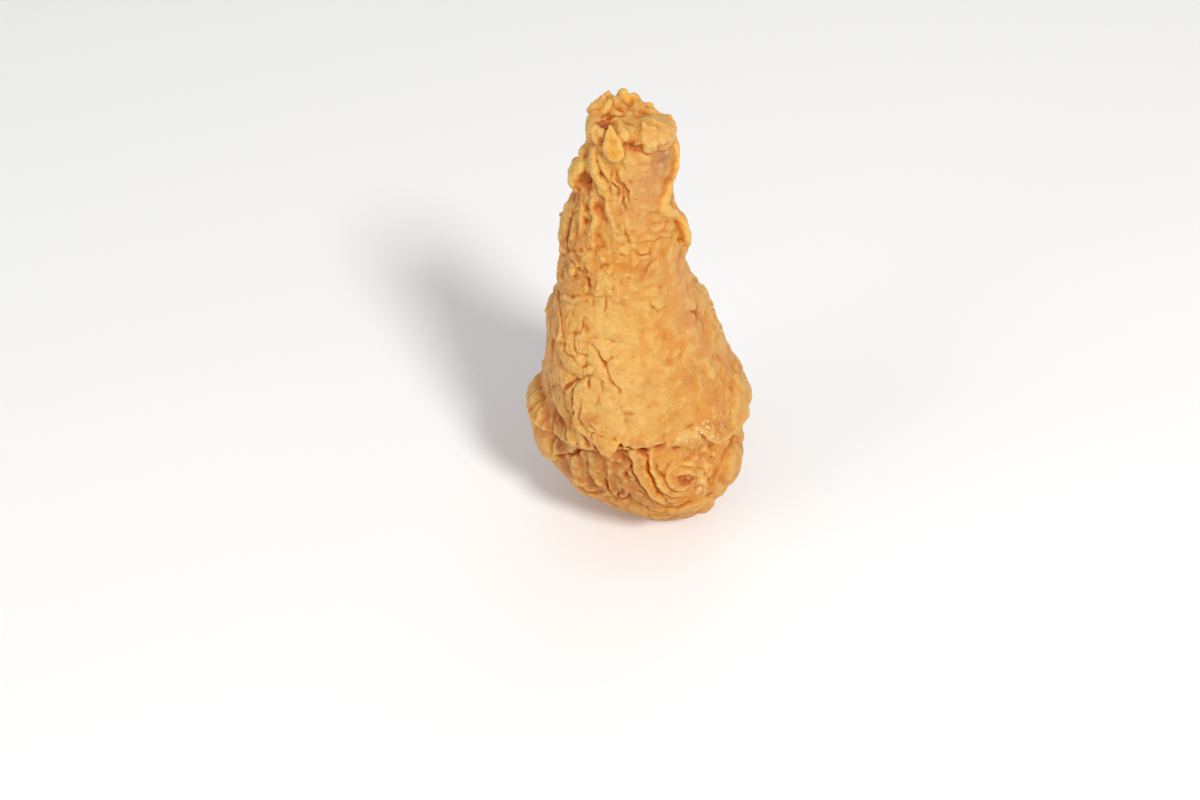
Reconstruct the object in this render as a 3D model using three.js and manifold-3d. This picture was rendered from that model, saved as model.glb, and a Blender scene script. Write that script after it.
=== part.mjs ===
// A fried chicken leg that stands on its thick end: one solid of meat, bone and browned crust.
// Millimetres, +Z up, and the side that shows best faces -Y. The origin is the middle of the
// flat spot that it stands on. A place on the leg is an azimuth in degrees, 0 at the front and
// growing towards +X, and a travel in millimetres: the height up to the knuckle's shoulder, and
// from there the way over the rounded end.

import * as THREE from "three";
import { mergeVertices } from "three/addons/utils/BufferGeometryUtils.js";
import Module from "manifold-3d";

// Driving dimensions
const LEG_HEIGHT = 124.5;
const SHOULDER_HEIGHT = 122;
const END_TRAVEL = 12;
const DEPTH_SHARE = 0.94;

// The leg under the relief of its crust, from the foot up: height, radius, lean towards -X
const STATIONS = [
  [0, 12.6, 0],
  [4, 15.8, 0.2],
  [10, 19.2, 0.8],
  [20, 23.6, 3.2],
  [32, 24.4, 4.6],
  [46, 21.6, 6.0],
  [62, 20.0, 9.0],
  [78, 15.4, 11.2],
  [92, 13.0, 12.0],
  [104, 10.7, 12.2],
  [116, 9.6, 11.5],
  [SHOULDER_HEIGHT, 9.0, 11.4],
];

// The thick end is cut under at its front left: azimuth, spread, share of the radius, height
const UNDERCUT = { azimuth: -30, spread: 46, share: 0.26, height: 16 };

// How finely the skin is divided
const SEGMENTS = 64;
const WALL_RINGS = 46;
const END_RINGS = 5;

// Broad swellings that fade into the skin: azimuth, travel, rise, half width, half height
const SWELLINGS = [
  [-22, 55, 1.4, 12, 12],
  [178, 42, 3.0, 18, 18],
  [130, 60, 1.6, 10, 12],
  [-135, 30, 2.0, 11, 9],
  [-64, 22, 1.2, 7, 4],
  [56, 18, 1.0, 8, 5],
];

// Lumps with a crease round them: azimuth, travel, rise, half width, half height
const LUMPS = [
  [-80, 31.5, 3.8, 11, 9.5],
  [94, 38, 2.2, 13, 9],
  [66, 24, 2.4, 11, 8],
  [24, 33, 2.4, 17, 14],
  [-24, 50, 1.3, 7, 11],
  [-88, 109, 1.6, 4, 4],
  [95, 91, 1.4, 4, 6],
  [155, 22, 2.6, 10, 9],
  [-170, 64, 1.6, 9, 11],
  [-150, 106, 1.6, 5, 6],
  [150, 98, 1.6, 5, 5],
  [-72, 124, 1.5, 4, 4],
  [20, 123.5, 1.1, 9, 5.5],
  [64, 123, 1.3, 8, 6],
  [-170, 127, 2.2, 5.5, 4],
];

// A dip in the rim of the rounded end: azimuth, spread, depth, and where it starts
const RIM_DIP = { azimuth: 126, spread: 26, depth: 0.8, from: 115, edge: 8 };

// The upper sheet of crust ends in a ragged hem over the thick end
const HEM_HEIGHT = 35.5;
const HEM_RISE = 9;
const HEM_PEAK_AZIMUTH = 6;
const HEM_SPREAD = 34;
const HEM_STEP = 2.0;
const HEM_EDGE = 1.6;
const HEM_FADE = 26;
const HEM_FRAY = 1.2;
// Where the sheet runs into the rosette under it, without a step: azimuth, spread, softer edge
const HEM_MERGE = { azimuth: 20, spread: 13, edge: 9 };

// Relief of the crust by zone: rise and wavelength
const PUFFS = { rise: 1.3, wavelength: 17 };
const CRINKLES = { rise: 0.9, wavelength: 9 };
const STRANDS = { rise: 1.3, wavelength: 10, stretch: 0.4 };
const CRAGS = { rise: 1.8, wavelength: 9 };
const CALM_AZIMUTH = 42;
const CALM_SPREAD = 36;
const CALM_SHARE = 0.7;

// Folds of crust that stand proud: width, thickness, and the places that each one runs through
const FOLDS = [
  [3.6, 2.2, [-62, 118], [-53, 115], [-43, 112.5], [-30, 110]],
  [2.2, 1.5, [-24, 117], [-20, 115], [-21, 113], [-8, 110.5], [-1, 108]],
  [2.8, 1.9, [-23, 110], [-18, 106.5], [-15, 104], [-4, 99]],
  [2.6, 1.8, [-40, 107], [-36, 104], [-33, 102], [-38, 98.5]],
  [3.0, 1.9, [-57, 107], [-54, 103], [-50, 97]],
  [3.8, 2.0, [86, 116], [84, 112], [70, 109]],
  [2.6, 1.8, [70, 108.5], [57, 107], [50, 104.5], [64, 101.5], [84, 98.5]],
  [4.8, 2.2, [-84, 101], [-94, 97], [-90, 92], [-76, 89]],
  [4.4, 2.0, [-86, 116], [-78, 112], [-80, 108], [-76, 105]],
  [3.0, 1.8, [-46, 131], [-30, 130], [-14, 127.5], [-4, 125.5]],
  [3.6, 1.6, [-88, 84], [-64, 87], [-42, 88]],
  [5.2, 1.7, [-84, 78], [-82, 68], [-86, 58]],
  [5.4, 1.8, [-66, 80], [-64, 70], [-70, 60], [-64, 50]],
  [5.6, 1.9, [-48, 81], [-48, 72], [-52, 62], [-50, 52], [-38, 44]],
  [5.4, 1.8, [-32, 82], [-30, 75], [-36, 68], [-32, 62]],
  [4.6, 1.5, [-26, 66], [-16, 60], [-12, 52]],
  [4.6, 1.6, [-82, 40], [-82, 33], [-74, 26]],
  [4.4, 1.5, [-72, 41], [-66, 34], [-60, 27]],
  [4.0, 1.9, [36, 43], [46, 39], [58, 36], [74, 32]],
  [3.4, 1.2, [-27, 37], [-26, 28]],
  [3.4, 1.2, [-11, 38], [-11, 27]],
  [4.6, 2.2, [17, 19], [24, 22], [33, 21], [42, 15], [46, 10]],
  [3.6, 1.7, [120, 112], [132, 104], [128, 95]],
  [3.8, 1.9, [178, 118], [170, 108], [184, 97]],
  [3.6, 1.8, [-128, 116], [-122, 104], [-130, 94]],
  [6.0, 1.9, [140, 76], [152, 64], [146, 52]],
  [6.4, 2.0, [-150, 82], [-164, 70], [-156, 56]],
  [6.0, 1.9, [-118, 76], [-112, 62], [-120, 50]],
  [5.6, 1.6, [176, 88], [166, 78], [172, 68]],
];
const FOLD_SIDES = 6;
const FOLD_STEPS = 6;
const FOLD_END_SHARE = 0.5;

// The rosette of folds at the front, right of the middle: arcs that open out to the upper left
const ROSETTE_AZIMUTH = 25;
const ROSETTE_TRAVEL = 32;
const ROSETTE_RADII = [2.2, 5.6, 9.2];
const ROSETTE_FROM = 128;
const ROSETTE_TO = 285;
const ROSETTE_STEPS = 6;
const ROSETTE_OPENING = 0.8;
const ROSETTE_FOLD = [4.4, 2.2];

// Flakes that lift off the crust: azimuth, travel, length, width, turn in the skin, tilt
const FLAKES = [
  [-22, 123, 8.2, 5.4, 20, 6],
  [24, 123, 4.2, 3.6, 0, 6],
  [-19, 43, 8.0, 6.6, 16, 12],
  [108, 70, 6.0, 3.6, 20, 16],
  [64, 56, 5.0, 3.4, 15, 8],
  [-88, 68, 4.0, 2.6, 80, 20],
];
const FLAKE_POINTS = 8;
const FLAKE_THICKNESS = 1.3;

// Flakes that lie round the knuckle and the neck, spread by the golden angle
const CROWD_COUNT = 22;
const CROWD_FROM = 90;
const CROWD_TO = 130;
const GOLDEN_ANGLE = 137.508;

const clamp = (value, low, high) => Math.min(Math.max(value, low), high);
const smooth = (value) => {
  const t = clamp(value, 0, 1);
  return t * t * (3 - 2 * t);
};
const radians = THREE.MathUtils.degToRad;
const bell = (value, spread) => Math.exp((-value * value) / (2 * spread * spread));
const turnBetween = (azimuth, other) => ((((azimuth - other + 180) % 360) + 360) % 360) - 180;

// Value of one column of STATIONS at a height, by a cubic with the slope of its neighbours
function station(height, column) {
  const last = STATIONS.length - 1;
  const h = clamp(height, 0, SHOULDER_HEIGHT);
  let i = STATIONS.findIndex((row) => row[0] > h) - 1;
  if (i < 0) i = last - 1;
  const slope = (k) => {
    const a = STATIONS[Math.max(k - 1, 0)];
    const b = STATIONS[Math.min(k + 1, last)];
    return (b[column] - a[column]) / (b[0] - a[0]);
  };
  const [from, to] = [STATIONS[i], STATIONS[i + 1]];
  const span = to[0] - from[0];
  const t = (h - from[0]) / span;
  const [t2, t3] = [t * t, t * t * t];
  return (
    (2 * t3 - 3 * t2 + 1) * from[column] +
    (t3 - 2 * t2 + t) * span * slope(i) +
    (3 * t2 - 2 * t3) * to[column] +
    (t3 - t2) * span * slope(i + 1)
  );
}

// A place on the smooth leg
function bodyPoint(azimuth, travel) {
  const over = clamp((travel - SHOULDER_HEIGHT) / END_TRAVEL, 0, 1) * (Math.PI / 2);
  const cut =
    UNDERCUT.share *
    bell(turnBetween(azimuth, UNDERCUT.azimuth), UNDERCUT.spread) *
    (1 - smooth(travel / UNDERCUT.height));
  const radius = station(travel, 1) * Math.cos(over) * (1 - cut);
  const height =
    Math.min(travel, SHOULDER_HEIGHT) + (LEG_HEIGHT - SHOULDER_HEIGHT) * Math.sin(over);
  const a = radians(azimuth);
  return new THREE.Vector3(
    radius * Math.sin(a) - station(travel, 2),
    -radius * Math.cos(a) * DEPTH_SHARE,
    height,
  );
}

// Unit vectors of the skin at a place: round the leg, up it, and out of it
function bodyFrame(azimuth, travel) {
  const low = Math.min(travel, SHOULDER_HEIGHT + END_TRAVEL * 0.98);
  const round = bodyPoint(azimuth + 1, low).sub(bodyPoint(azimuth - 1, low)).normalize();
  const up = bodyPoint(azimuth, low + 0.2).sub(bodyPoint(azimuth, low - 0.2)).normalize();
  const out = new THREE.Vector3().crossVectors(round, up).normalize();
  return { round, up: new THREE.Vector3().crossVectors(out, round), out };
}

// Smooth noise about -1 to 1: plane waves in directions spread evenly over the sphere
const WAVE_COUNT = 7;
function waves(point, wavelength, seed) {
  let sum = 0;
  for (let i = 0; i < WAVE_COUNT; i++) {
    const turn = (i + 0.37 * seed) * radians(GOLDEN_ANGLE);
    const rise = 1 - (2 * (i + 0.5)) / WAVE_COUNT;
    const reach = Math.sqrt(1 - rise * rise);
    const along =
      point.x * reach * Math.cos(turn) + point.y * reach * Math.sin(turn) + point.z * rise;
    sum += Math.sin((2 * Math.PI * along) / wavelength + 2.4 * i * i + 1.7 * seed);
  }
  return sum / Math.sqrt(WAVE_COUNT * 1.5);
}

// Rounded puffs with sharp valleys between them, 0 in a valley and 1 on a puff
function puffed(point, wavelength, seed) {
  const bend = wavelength * 0.22;
  const bent = point
    .clone()
    .add(
      new THREE.Vector3(
        waves(point, wavelength * 0.8, seed + 11) * bend,
        waves(point, wavelength * 0.8, seed + 12) * bend,
        waves(point, wavelength * 0.8, seed + 13) * bend,
      ),
    );
  return Math.tanh(1.9 * Math.abs(waves(bent, wavelength, seed)));
}

// Millimetres round the leg and up it from one place to another
function offset(azimuth, travel, fromAzimuth, fromTravel) {
  const radius = station(fromTravel, 1);
  return [radians(turnBetween(azimuth, fromAzimuth)) * radius, travel - fromTravel];
}

function heightAboveHem(azimuth, travel) {
  const fray =
    Math.sin(radians(azimuth * 9)) * 0.6 + Math.sin(radians(azimuth * 17 + 40)) * 0.4;
  const peak = HEM_RISE * bell(turnBetween(azimuth, HEM_PEAK_AZIMUTH), HEM_SPREAD);
  return travel - (HEM_HEIGHT + peak + HEM_FRAY * fray);
}

// How far the large forms stand out of the smooth leg: swellings, lumps and the upper sheet
function largeRelief(azimuth, travel) {
  let rise = 0;
  for (const [az, at, height, halfWidth, halfHeight] of SWELLINGS) {
    const [x, y] = offset(azimuth, travel, az, at);
    rise += height * bell(x, halfWidth) * bell(y, halfHeight);
  }
  for (const [az, at, height, halfWidth, halfHeight] of LUMPS) {
    const [x, y] = offset(azimuth, travel, az, at);
    rise += height * Math.sqrt(Math.max(0, 1 - (x / halfWidth) ** 2 - (y / halfHeight) ** 2));
  }
  const inDip = bell(turnBetween(azimuth, RIM_DIP.azimuth), RIM_DIP.spread);
  rise -= RIM_DIP.depth * inDip * smooth((travel - RIM_DIP.from) / RIM_DIP.edge);
  const above = heightAboveHem(azimuth, travel);
  const merged = bell(turnBetween(azimuth, HEM_MERGE.azimuth), HEM_MERGE.spread);
  const edge = HEM_EDGE + HEM_MERGE.edge * merged;
  rise += HEM_STEP * smooth(above / edge + 0.5) * (1 - smooth(above / HEM_FADE));
  return rise * smooth(travel / 5);
}

// How far the small forms stand out: puffs and crinkles low down, strands on the neck, crags
// on the knuckle, and the flakes that lie there
function smallRelief(azimuth, travel) {
  const point = bodyPoint(azimuth, travel);
  const neck = smooth((travel - 80) / 14);
  const end = smooth((travel - 110) / 8);
  const calmHere = smooth((heightAboveHem(azimuth, travel) + 2) / 6);
  const calm =
    1 - CALM_SHARE * bell(turnBetween(azimuth, CALM_AZIMUTH), CALM_SPREAD) * calmHere;
  const low = (1 - neck) * calm;
  const stretched = point.clone();
  stretched.z *= STRANDS.stretch;
  let rise = PUFFS.rise * low * (puffed(point, PUFFS.wavelength, 1) - 0.6);
  rise += CRINKLES.rise * low * (puffed(point, CRINKLES.wavelength, 2) - 0.6);
  rise += STRANDS.rise * neck * (1 - end) * (puffed(stretched, STRANDS.wavelength, 3) - 0.5);
  rise += CRAGS.rise * end * (puffed(point, CRAGS.wavelength, 4) - 0.45);
  rise += Math.max(0, ...CROWD.map((flat) => flakeRise(flat, azimuth, travel)));
  return rise * smooth(travel / 5);
}

// Rise of a flake that lies in the crust, thicker at its lower end
function flakeRise([azimuthAt, travelAt, length, width, turn, tilt], azimuth, travel) {
  const [x, y] = offset(azimuth, travel, azimuthAt, travelAt);
  const aside = x * Math.cos(radians(turn)) + y * Math.sin(radians(turn));
  const along = y * Math.cos(radians(turn)) - x * Math.sin(radians(turn));
  const reach = Math.hypot((2 * aside) / width, (2 * along) / length);
  const lift = FLAKE_THICKNESS - along * Math.tan(radians(tilt));
  return lift * smooth((1.15 - reach) * 3);
}

// A place on the skin that is raised by some relief, never under the flat spot
function raisedPoint(azimuth, travel, rise) {
  const { out } = bodyFrame(azimuth, travel);
  const point = bodyPoint(azimuth, travel).addScaledVector(out, rise);
  point.z = Math.max(point.z, 0);
  return point;
}

function crustPoint(azimuth, travel) {
  const rise = largeRelief(azimuth, travel) + smallRelief(azimuth, travel);
  return raisedPoint(azimuth, travel, rise);
}

function rosetteFold(radius) {
  const around = station(ROSETTE_TRAVEL, 1);
  const places = [];
  for (let i = 0; i <= ROSETTE_STEPS; i++) {
    const turn = ROSETTE_FROM + ((ROSETTE_TO - ROSETTE_FROM) * i) / ROSETTE_STEPS;
    const before = Math.max(0, 180 - turn) / (180 - ROSETTE_FROM);
    const reach = radius * (1 + ROSETTE_OPENING * before * before);
    places.push([
      ROSETTE_AZIMUTH + THREE.MathUtils.radToDeg((reach * Math.cos(radians(turn))) / around),
      ROSETTE_TRAVEL + reach * Math.sin(radians(turn)),
    ]);
  }
  return [...ROSETTE_FOLD, ...places];
}

function crowdFlake(index) {
  const share = (index + 0.5) / CROWD_COUNT;
  return [
    index * GOLDEN_ANGLE,
    CROWD_FROM + (CROWD_TO - CROWD_FROM) * share,
    5.6 + 1.8 * Math.sin(index * 2.7),
    4.4 + 0.9 * Math.sin(index * 1.3),
    50 * Math.sin(index * 4.1),
    10 + 8 * Math.sin(index * 3.3),
  ];
}

const ALL_FOLDS = [...FOLDS, ...ROSETTE_RADII.map(rosetteFold)];
const CROWD = Array.from({ length: CROWD_COUNT }, (_, index) => crowdFlake(index));

function geometryOf(points, triangles) {
  const geometry = new THREE.BufferGeometry();
  const coordinates = points.flatMap((p) => [p.x, p.y, p.z]);
  geometry.setAttribute("position", new THREE.Float32BufferAttribute(coordinates, 3));
  geometry.setIndex(triangles.flat());
  return geometry;
}

// Rings of points, each with the same count, closed at both ends by a middle point. Each
// four-sided face is split along its shorter diagonal.
function stackedRings(rings, first, last) {
  const count = rings[0].length;
  const points = [first, ...rings.flat(), last];
  const triangles = [];
  const at = (ring, k) => 1 + ring * count + (k % count);
  for (let k = 0; k < count; k++) {
    triangles.push([0, at(0, k + 1), at(0, k)]);
    triangles.push([points.length - 1, at(rings.length - 1, k), at(rings.length - 1, k + 1)]);
    for (let ring = 0; ring + 1 < rings.length; ring++) {
      const [a, b, c, d] = [at(ring, k), at(ring, k + 1), at(ring + 1, k + 1), at(ring + 1, k)];
      if (points[a].distanceTo(points[c]) < points[b].distanceTo(points[d])) {
        triangles.push([a, b, c], [a, c, d]);
      } else {
        triangles.push([a, b, d], [b, c, d]);
      }
    }
  }
  return geometryOf(points, triangles);
}

// The skin of the whole leg, from its flat spot to the top of the knuckle
function crustSkin() {
  const travels = [0];
  for (let i = 1; i <= WALL_RINGS; i++) {
    const share = i / WALL_RINGS;
    travels.push(SHOULDER_HEIGHT * (0.86 * share + 0.14 * share * share));
  }
  for (let i = 1; i <= END_RINGS; i++) {
    travels.push(SHOULDER_HEIGHT + (END_TRAVEL * i) / (END_RINGS + 1));
  }
  const rings = travels.map((travel) =>
    Array.from({ length: SEGMENTS }, (_, k) => crustPoint((360 * k) / SEGMENTS, travel)),
  );
  const top = bodyPoint(0, SHOULDER_HEIGHT + END_TRAVEL);
  return stackedRings(rings, new THREE.Vector3(0, 0, 0), top);
}

// A fold: a tube of crust half sunk in the skin along its places, thinner at both ends
function fold([width, thickness, ...places]) {
  const route = new THREE.CatmullRomCurve3(
    places.map(([azimuth, travel]) => new THREE.Vector3(azimuth, travel, 0)),
  );
  const middleAt = (share) => {
    const { x: azimuth, y: travel } = route.getPoint(share);
    return raisedPoint(azimuth, travel, largeRelief(azimuth, travel));
  };
  const rings = [];
  for (let i = 0; i < FOLD_STEPS; i++) {
    const share = (i + 0.5) / FOLD_STEPS;
    const middle = middleAt(share);
    const along = middleAt(share + 0.5 / FOLD_STEPS).sub(middleAt(share - 0.5 / FOLD_STEPS));
    const { x: azimuth, y: travel } = route.getPoint(share);
    const side = new THREE.Vector3()
      .crossVectors(along, bodyFrame(azimuth, travel).out)
      .normalize();
    const out = new THREE.Vector3().crossVectors(side, along).normalize();
    const size = FOLD_END_SHARE + (1 - FOLD_END_SHARE) * Math.sqrt(Math.sin(Math.PI * share));
    rings.push(
      Array.from({ length: FOLD_SIDES }, (_, k) => {
        const a = (2 * Math.PI * k) / FOLD_SIDES;
        return middle
          .clone()
          .addScaledVector(side, (Math.sin(a) * width * size) / 2)
          .addScaledVector(out, Math.cos(a) * thickness * size);
      }),
    );
  }
  return stackedRings(rings, middleAt(0), middleAt(1));
}

// A flake: a thin wavy plate with an uneven outline, held to the crust by its upper end
function flake([azimuth, travel, length, width, turn, tilt], seed) {
  const { round, up, out } = bodyFrame(azimuth, travel);
  const middle = crustPoint(azimuth, travel).addScaledVector(out, FLAKE_THICKNESS * 0.25);
  const place = (aside, rise, lift) =>
    middle
      .clone()
      .addScaledVector(round, aside * Math.cos(radians(turn)) - rise * Math.sin(radians(turn)))
      .addScaledVector(up, aside * Math.sin(radians(turn)) + rise * Math.cos(radians(turn)))
      .addScaledVector(out, lift);
  const layer = (share, side) =>
    Array.from({ length: FLAKE_POINTS }, (_, k) => {
      const a = (2 * Math.PI * k) / FLAKE_POINTS;
      const ragged = 1 + 0.2 * Math.sin(3.1 * k + seed * 1.9);
      const aside = (Math.cos(a) * width * ragged * share) / 2;
      const rise = (Math.sin(a) * length * ragged * share) / 2;
      const lift = -rise * Math.tan(radians(tilt)) + 0.35 * Math.sin(2.3 * k + seed);
      return place(aside, rise, lift + (side * FLAKE_THICKNESS) / 2);
    });
  const rings = [layer(0.75, -1), layer(1, -0.25), layer(0.85, 0.8)];
  return stackedRings(rings, place(0, 0, -FLAKE_THICKNESS / 2), place(0, 0, FLAKE_THICKNESS / 2));
}

const wasm = await Module();
wasm.setup();

function solidFrom(geometry) {
  const merged = mergeVertices(geometry, 1e-4);
  return new wasm.Manifold(
    new wasm.Mesh({
      numProp: 3,
      vertProperties: merged.attributes.position.array,
      triVerts: new Uint32Array(merged.index.array),
    }),
  );
}

// One solid of the skin with everything that stands on it
function legGeometry() {
  const whole = [...ALL_FOLDS.map(fold), ...FLAKES.map(flake)].reduce(
    (solid, geometry) => solid.add(solidFrom(geometry)),
    solidFrom(crustSkin()),
  );
  const [leg] = whole.decompose().sort((a, b) => b.volume() - a.volume());
  const { numProp, vertProperties, triVerts } = leg.getMesh();
  const geometry = new THREE.BufferGeometry();
  const positions = new Float32Array((vertProperties.length / numProp) * 3);
  for (let i = 0; i < positions.length / 3; i++) {
    positions.set(vertProperties.subarray(i * numProp, i * numProp + 3), i * 3);
  }
  geometry.setAttribute("position", new THREE.BufferAttribute(positions, 3));
  geometry.setIndex(new THREE.BufferAttribute(triVerts, 1));
  geometry.computeVertexNormals();
  return geometry;
}

const crustMaterial = new THREE.MeshStandardMaterial({
  color: new THREE.Color().setRGB(0.85, 0.61, 0.33, THREE.SRGBColorSpace),
  roughness: 0.62,
  metalness: 0,
});

const chickenLeg = new THREE.Group();
const leg = new THREE.Mesh(legGeometry(), crustMaterial);
leg.name = "fried_leg";
chickenLeg.add(leg);

export default chickenLeg;
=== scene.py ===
"""A fried chicken leg that stands on its thick end, with a craggy, folded golden crust.

Lengths are in millimetres until a mesh is made. A place on the leg is an azimuth in degrees, 0 at
the front (-Y) and growing towards +X, and a travel: the height up to the knuckle's shoulder, and
from there the way over the rounded end.
"""

import itertools
import math

import bpy
import numpy as np
from mathutils import Matrix
from mathutils.bvhtree import BVHTree


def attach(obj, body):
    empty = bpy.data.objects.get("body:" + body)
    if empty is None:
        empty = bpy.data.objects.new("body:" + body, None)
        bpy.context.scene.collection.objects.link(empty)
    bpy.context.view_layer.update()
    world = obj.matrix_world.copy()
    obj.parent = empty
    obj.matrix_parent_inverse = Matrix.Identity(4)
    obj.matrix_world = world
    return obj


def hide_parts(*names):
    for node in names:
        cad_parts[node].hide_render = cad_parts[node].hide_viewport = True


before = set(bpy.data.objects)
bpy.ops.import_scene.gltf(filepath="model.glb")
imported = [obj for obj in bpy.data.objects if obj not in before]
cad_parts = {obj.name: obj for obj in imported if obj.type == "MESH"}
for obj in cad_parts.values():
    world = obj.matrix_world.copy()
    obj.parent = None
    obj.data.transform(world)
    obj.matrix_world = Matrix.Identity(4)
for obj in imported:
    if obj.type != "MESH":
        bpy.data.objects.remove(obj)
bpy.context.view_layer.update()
MM = 0.001
GOLDEN_ANGLE = 137.508

# The leg under the relief of its crust: height, radius, lean towards -X
LEG_HEIGHT = 124.5
SHOULDER_HEIGHT = 122
END_TRAVEL = 12
DEPTH_SHARE = 0.94
STATIONS = np.array([
    [0, 12.6, 0],
    [4, 15.8, 0.2],
    [10, 19.2, 0.8],
    [20, 23.6, 3.2],
    [32, 24.4, 4.6],
    [46, 21.6, 6.0],
    [62, 20.0, 9.0],
    [78, 15.4, 11.2],
    [92, 13.0, 12.0],
    [104, 10.7, 12.2],
    [116, 9.6, 11.5],
    [SHOULDER_HEIGHT, 9.0, 11.4],
])
# The foot is drawn in on one side: azimuth and spread, and how much and how high
UNDERCUT_SIDE = (-30, 46)
UNDERCUT_SHARE = 0.26
UNDERCUT_HEIGHT = 16
# The relief fades to nothing from this height down to the flat spot
FLAT_SPOT_FADE = 5

# Broad swellings: azimuth, travel, rise, half width, half height
SWELLINGS = [
    (-22, 55, 1.4, 12, 12),
    (178, 42, 3.0, 18, 18),
    (136, 60, 1.3, 10, 12),
    (-135, 30, 2.0, 11, 9),
    (-64, 22, 1.6, 7, 4),
    (56, 18, 1.0, 8, 5),
]
# Lumps with a crease round them: azimuth, travel, rise, half width, half height
LUMPS = [
    (-80, 31.5, 4.0, 11, 9.5),
    (94, 38, 1.5, 13, 9),
    (66, 24, 1.9, 11, 8),
    (24, 33, 2.4, 17, 14),
    (62, 57, 0.8, 1.5, 2.8),
    (-24, 50, 1.3, 7, 11),
    (-88, 109, 1.6, 4, 4),
    (95, 91, 1.4, 4, 6),
    (155, 22, 2.6, 10, 9),
    (-170, 64, 1.6, 9, 11),
    (-150, 106, 1.6, 5, 6),
    (150, 98, 1.6, 5, 5),
    (-78, 124, 0.7, 5, 5),
    (20, 126, 0.8, 9, 6),
    (64, 126, 1.0, 8, 6.5),
    (-130, 126, 1.6, 6, 4),
]
# A dip in the rim of the rounded end
RIM_DIP_SIDE = (128, 28)
RIM_DIP_TRAVELS = (115, 123)
RIM_DIP = 1.3
# The upper sheet of crust ends in a ragged hem over the thick end, which rises to the front
HEM_HEIGHT = 35.5
HEM_RISE = 9
HEM_PEAK = (6, 34)
HEM_STEP = 2.2
HEM_EDGE = 0.6
HEM_FADE = 26
HEM_SAG = 0.9
# How far the hem wanders up and down on the back, where that ends, and how long its waves are
HEM_WANDER = 3.0
HEM_WANDER_TRAVELS = (50, 60)
HEM_WANDER_LENGTH = 17
# Where the sheet runs into the rosette under it, without a step
MERGE_SIDE = (20, 13)
MERGED_EDGE = 9

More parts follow.
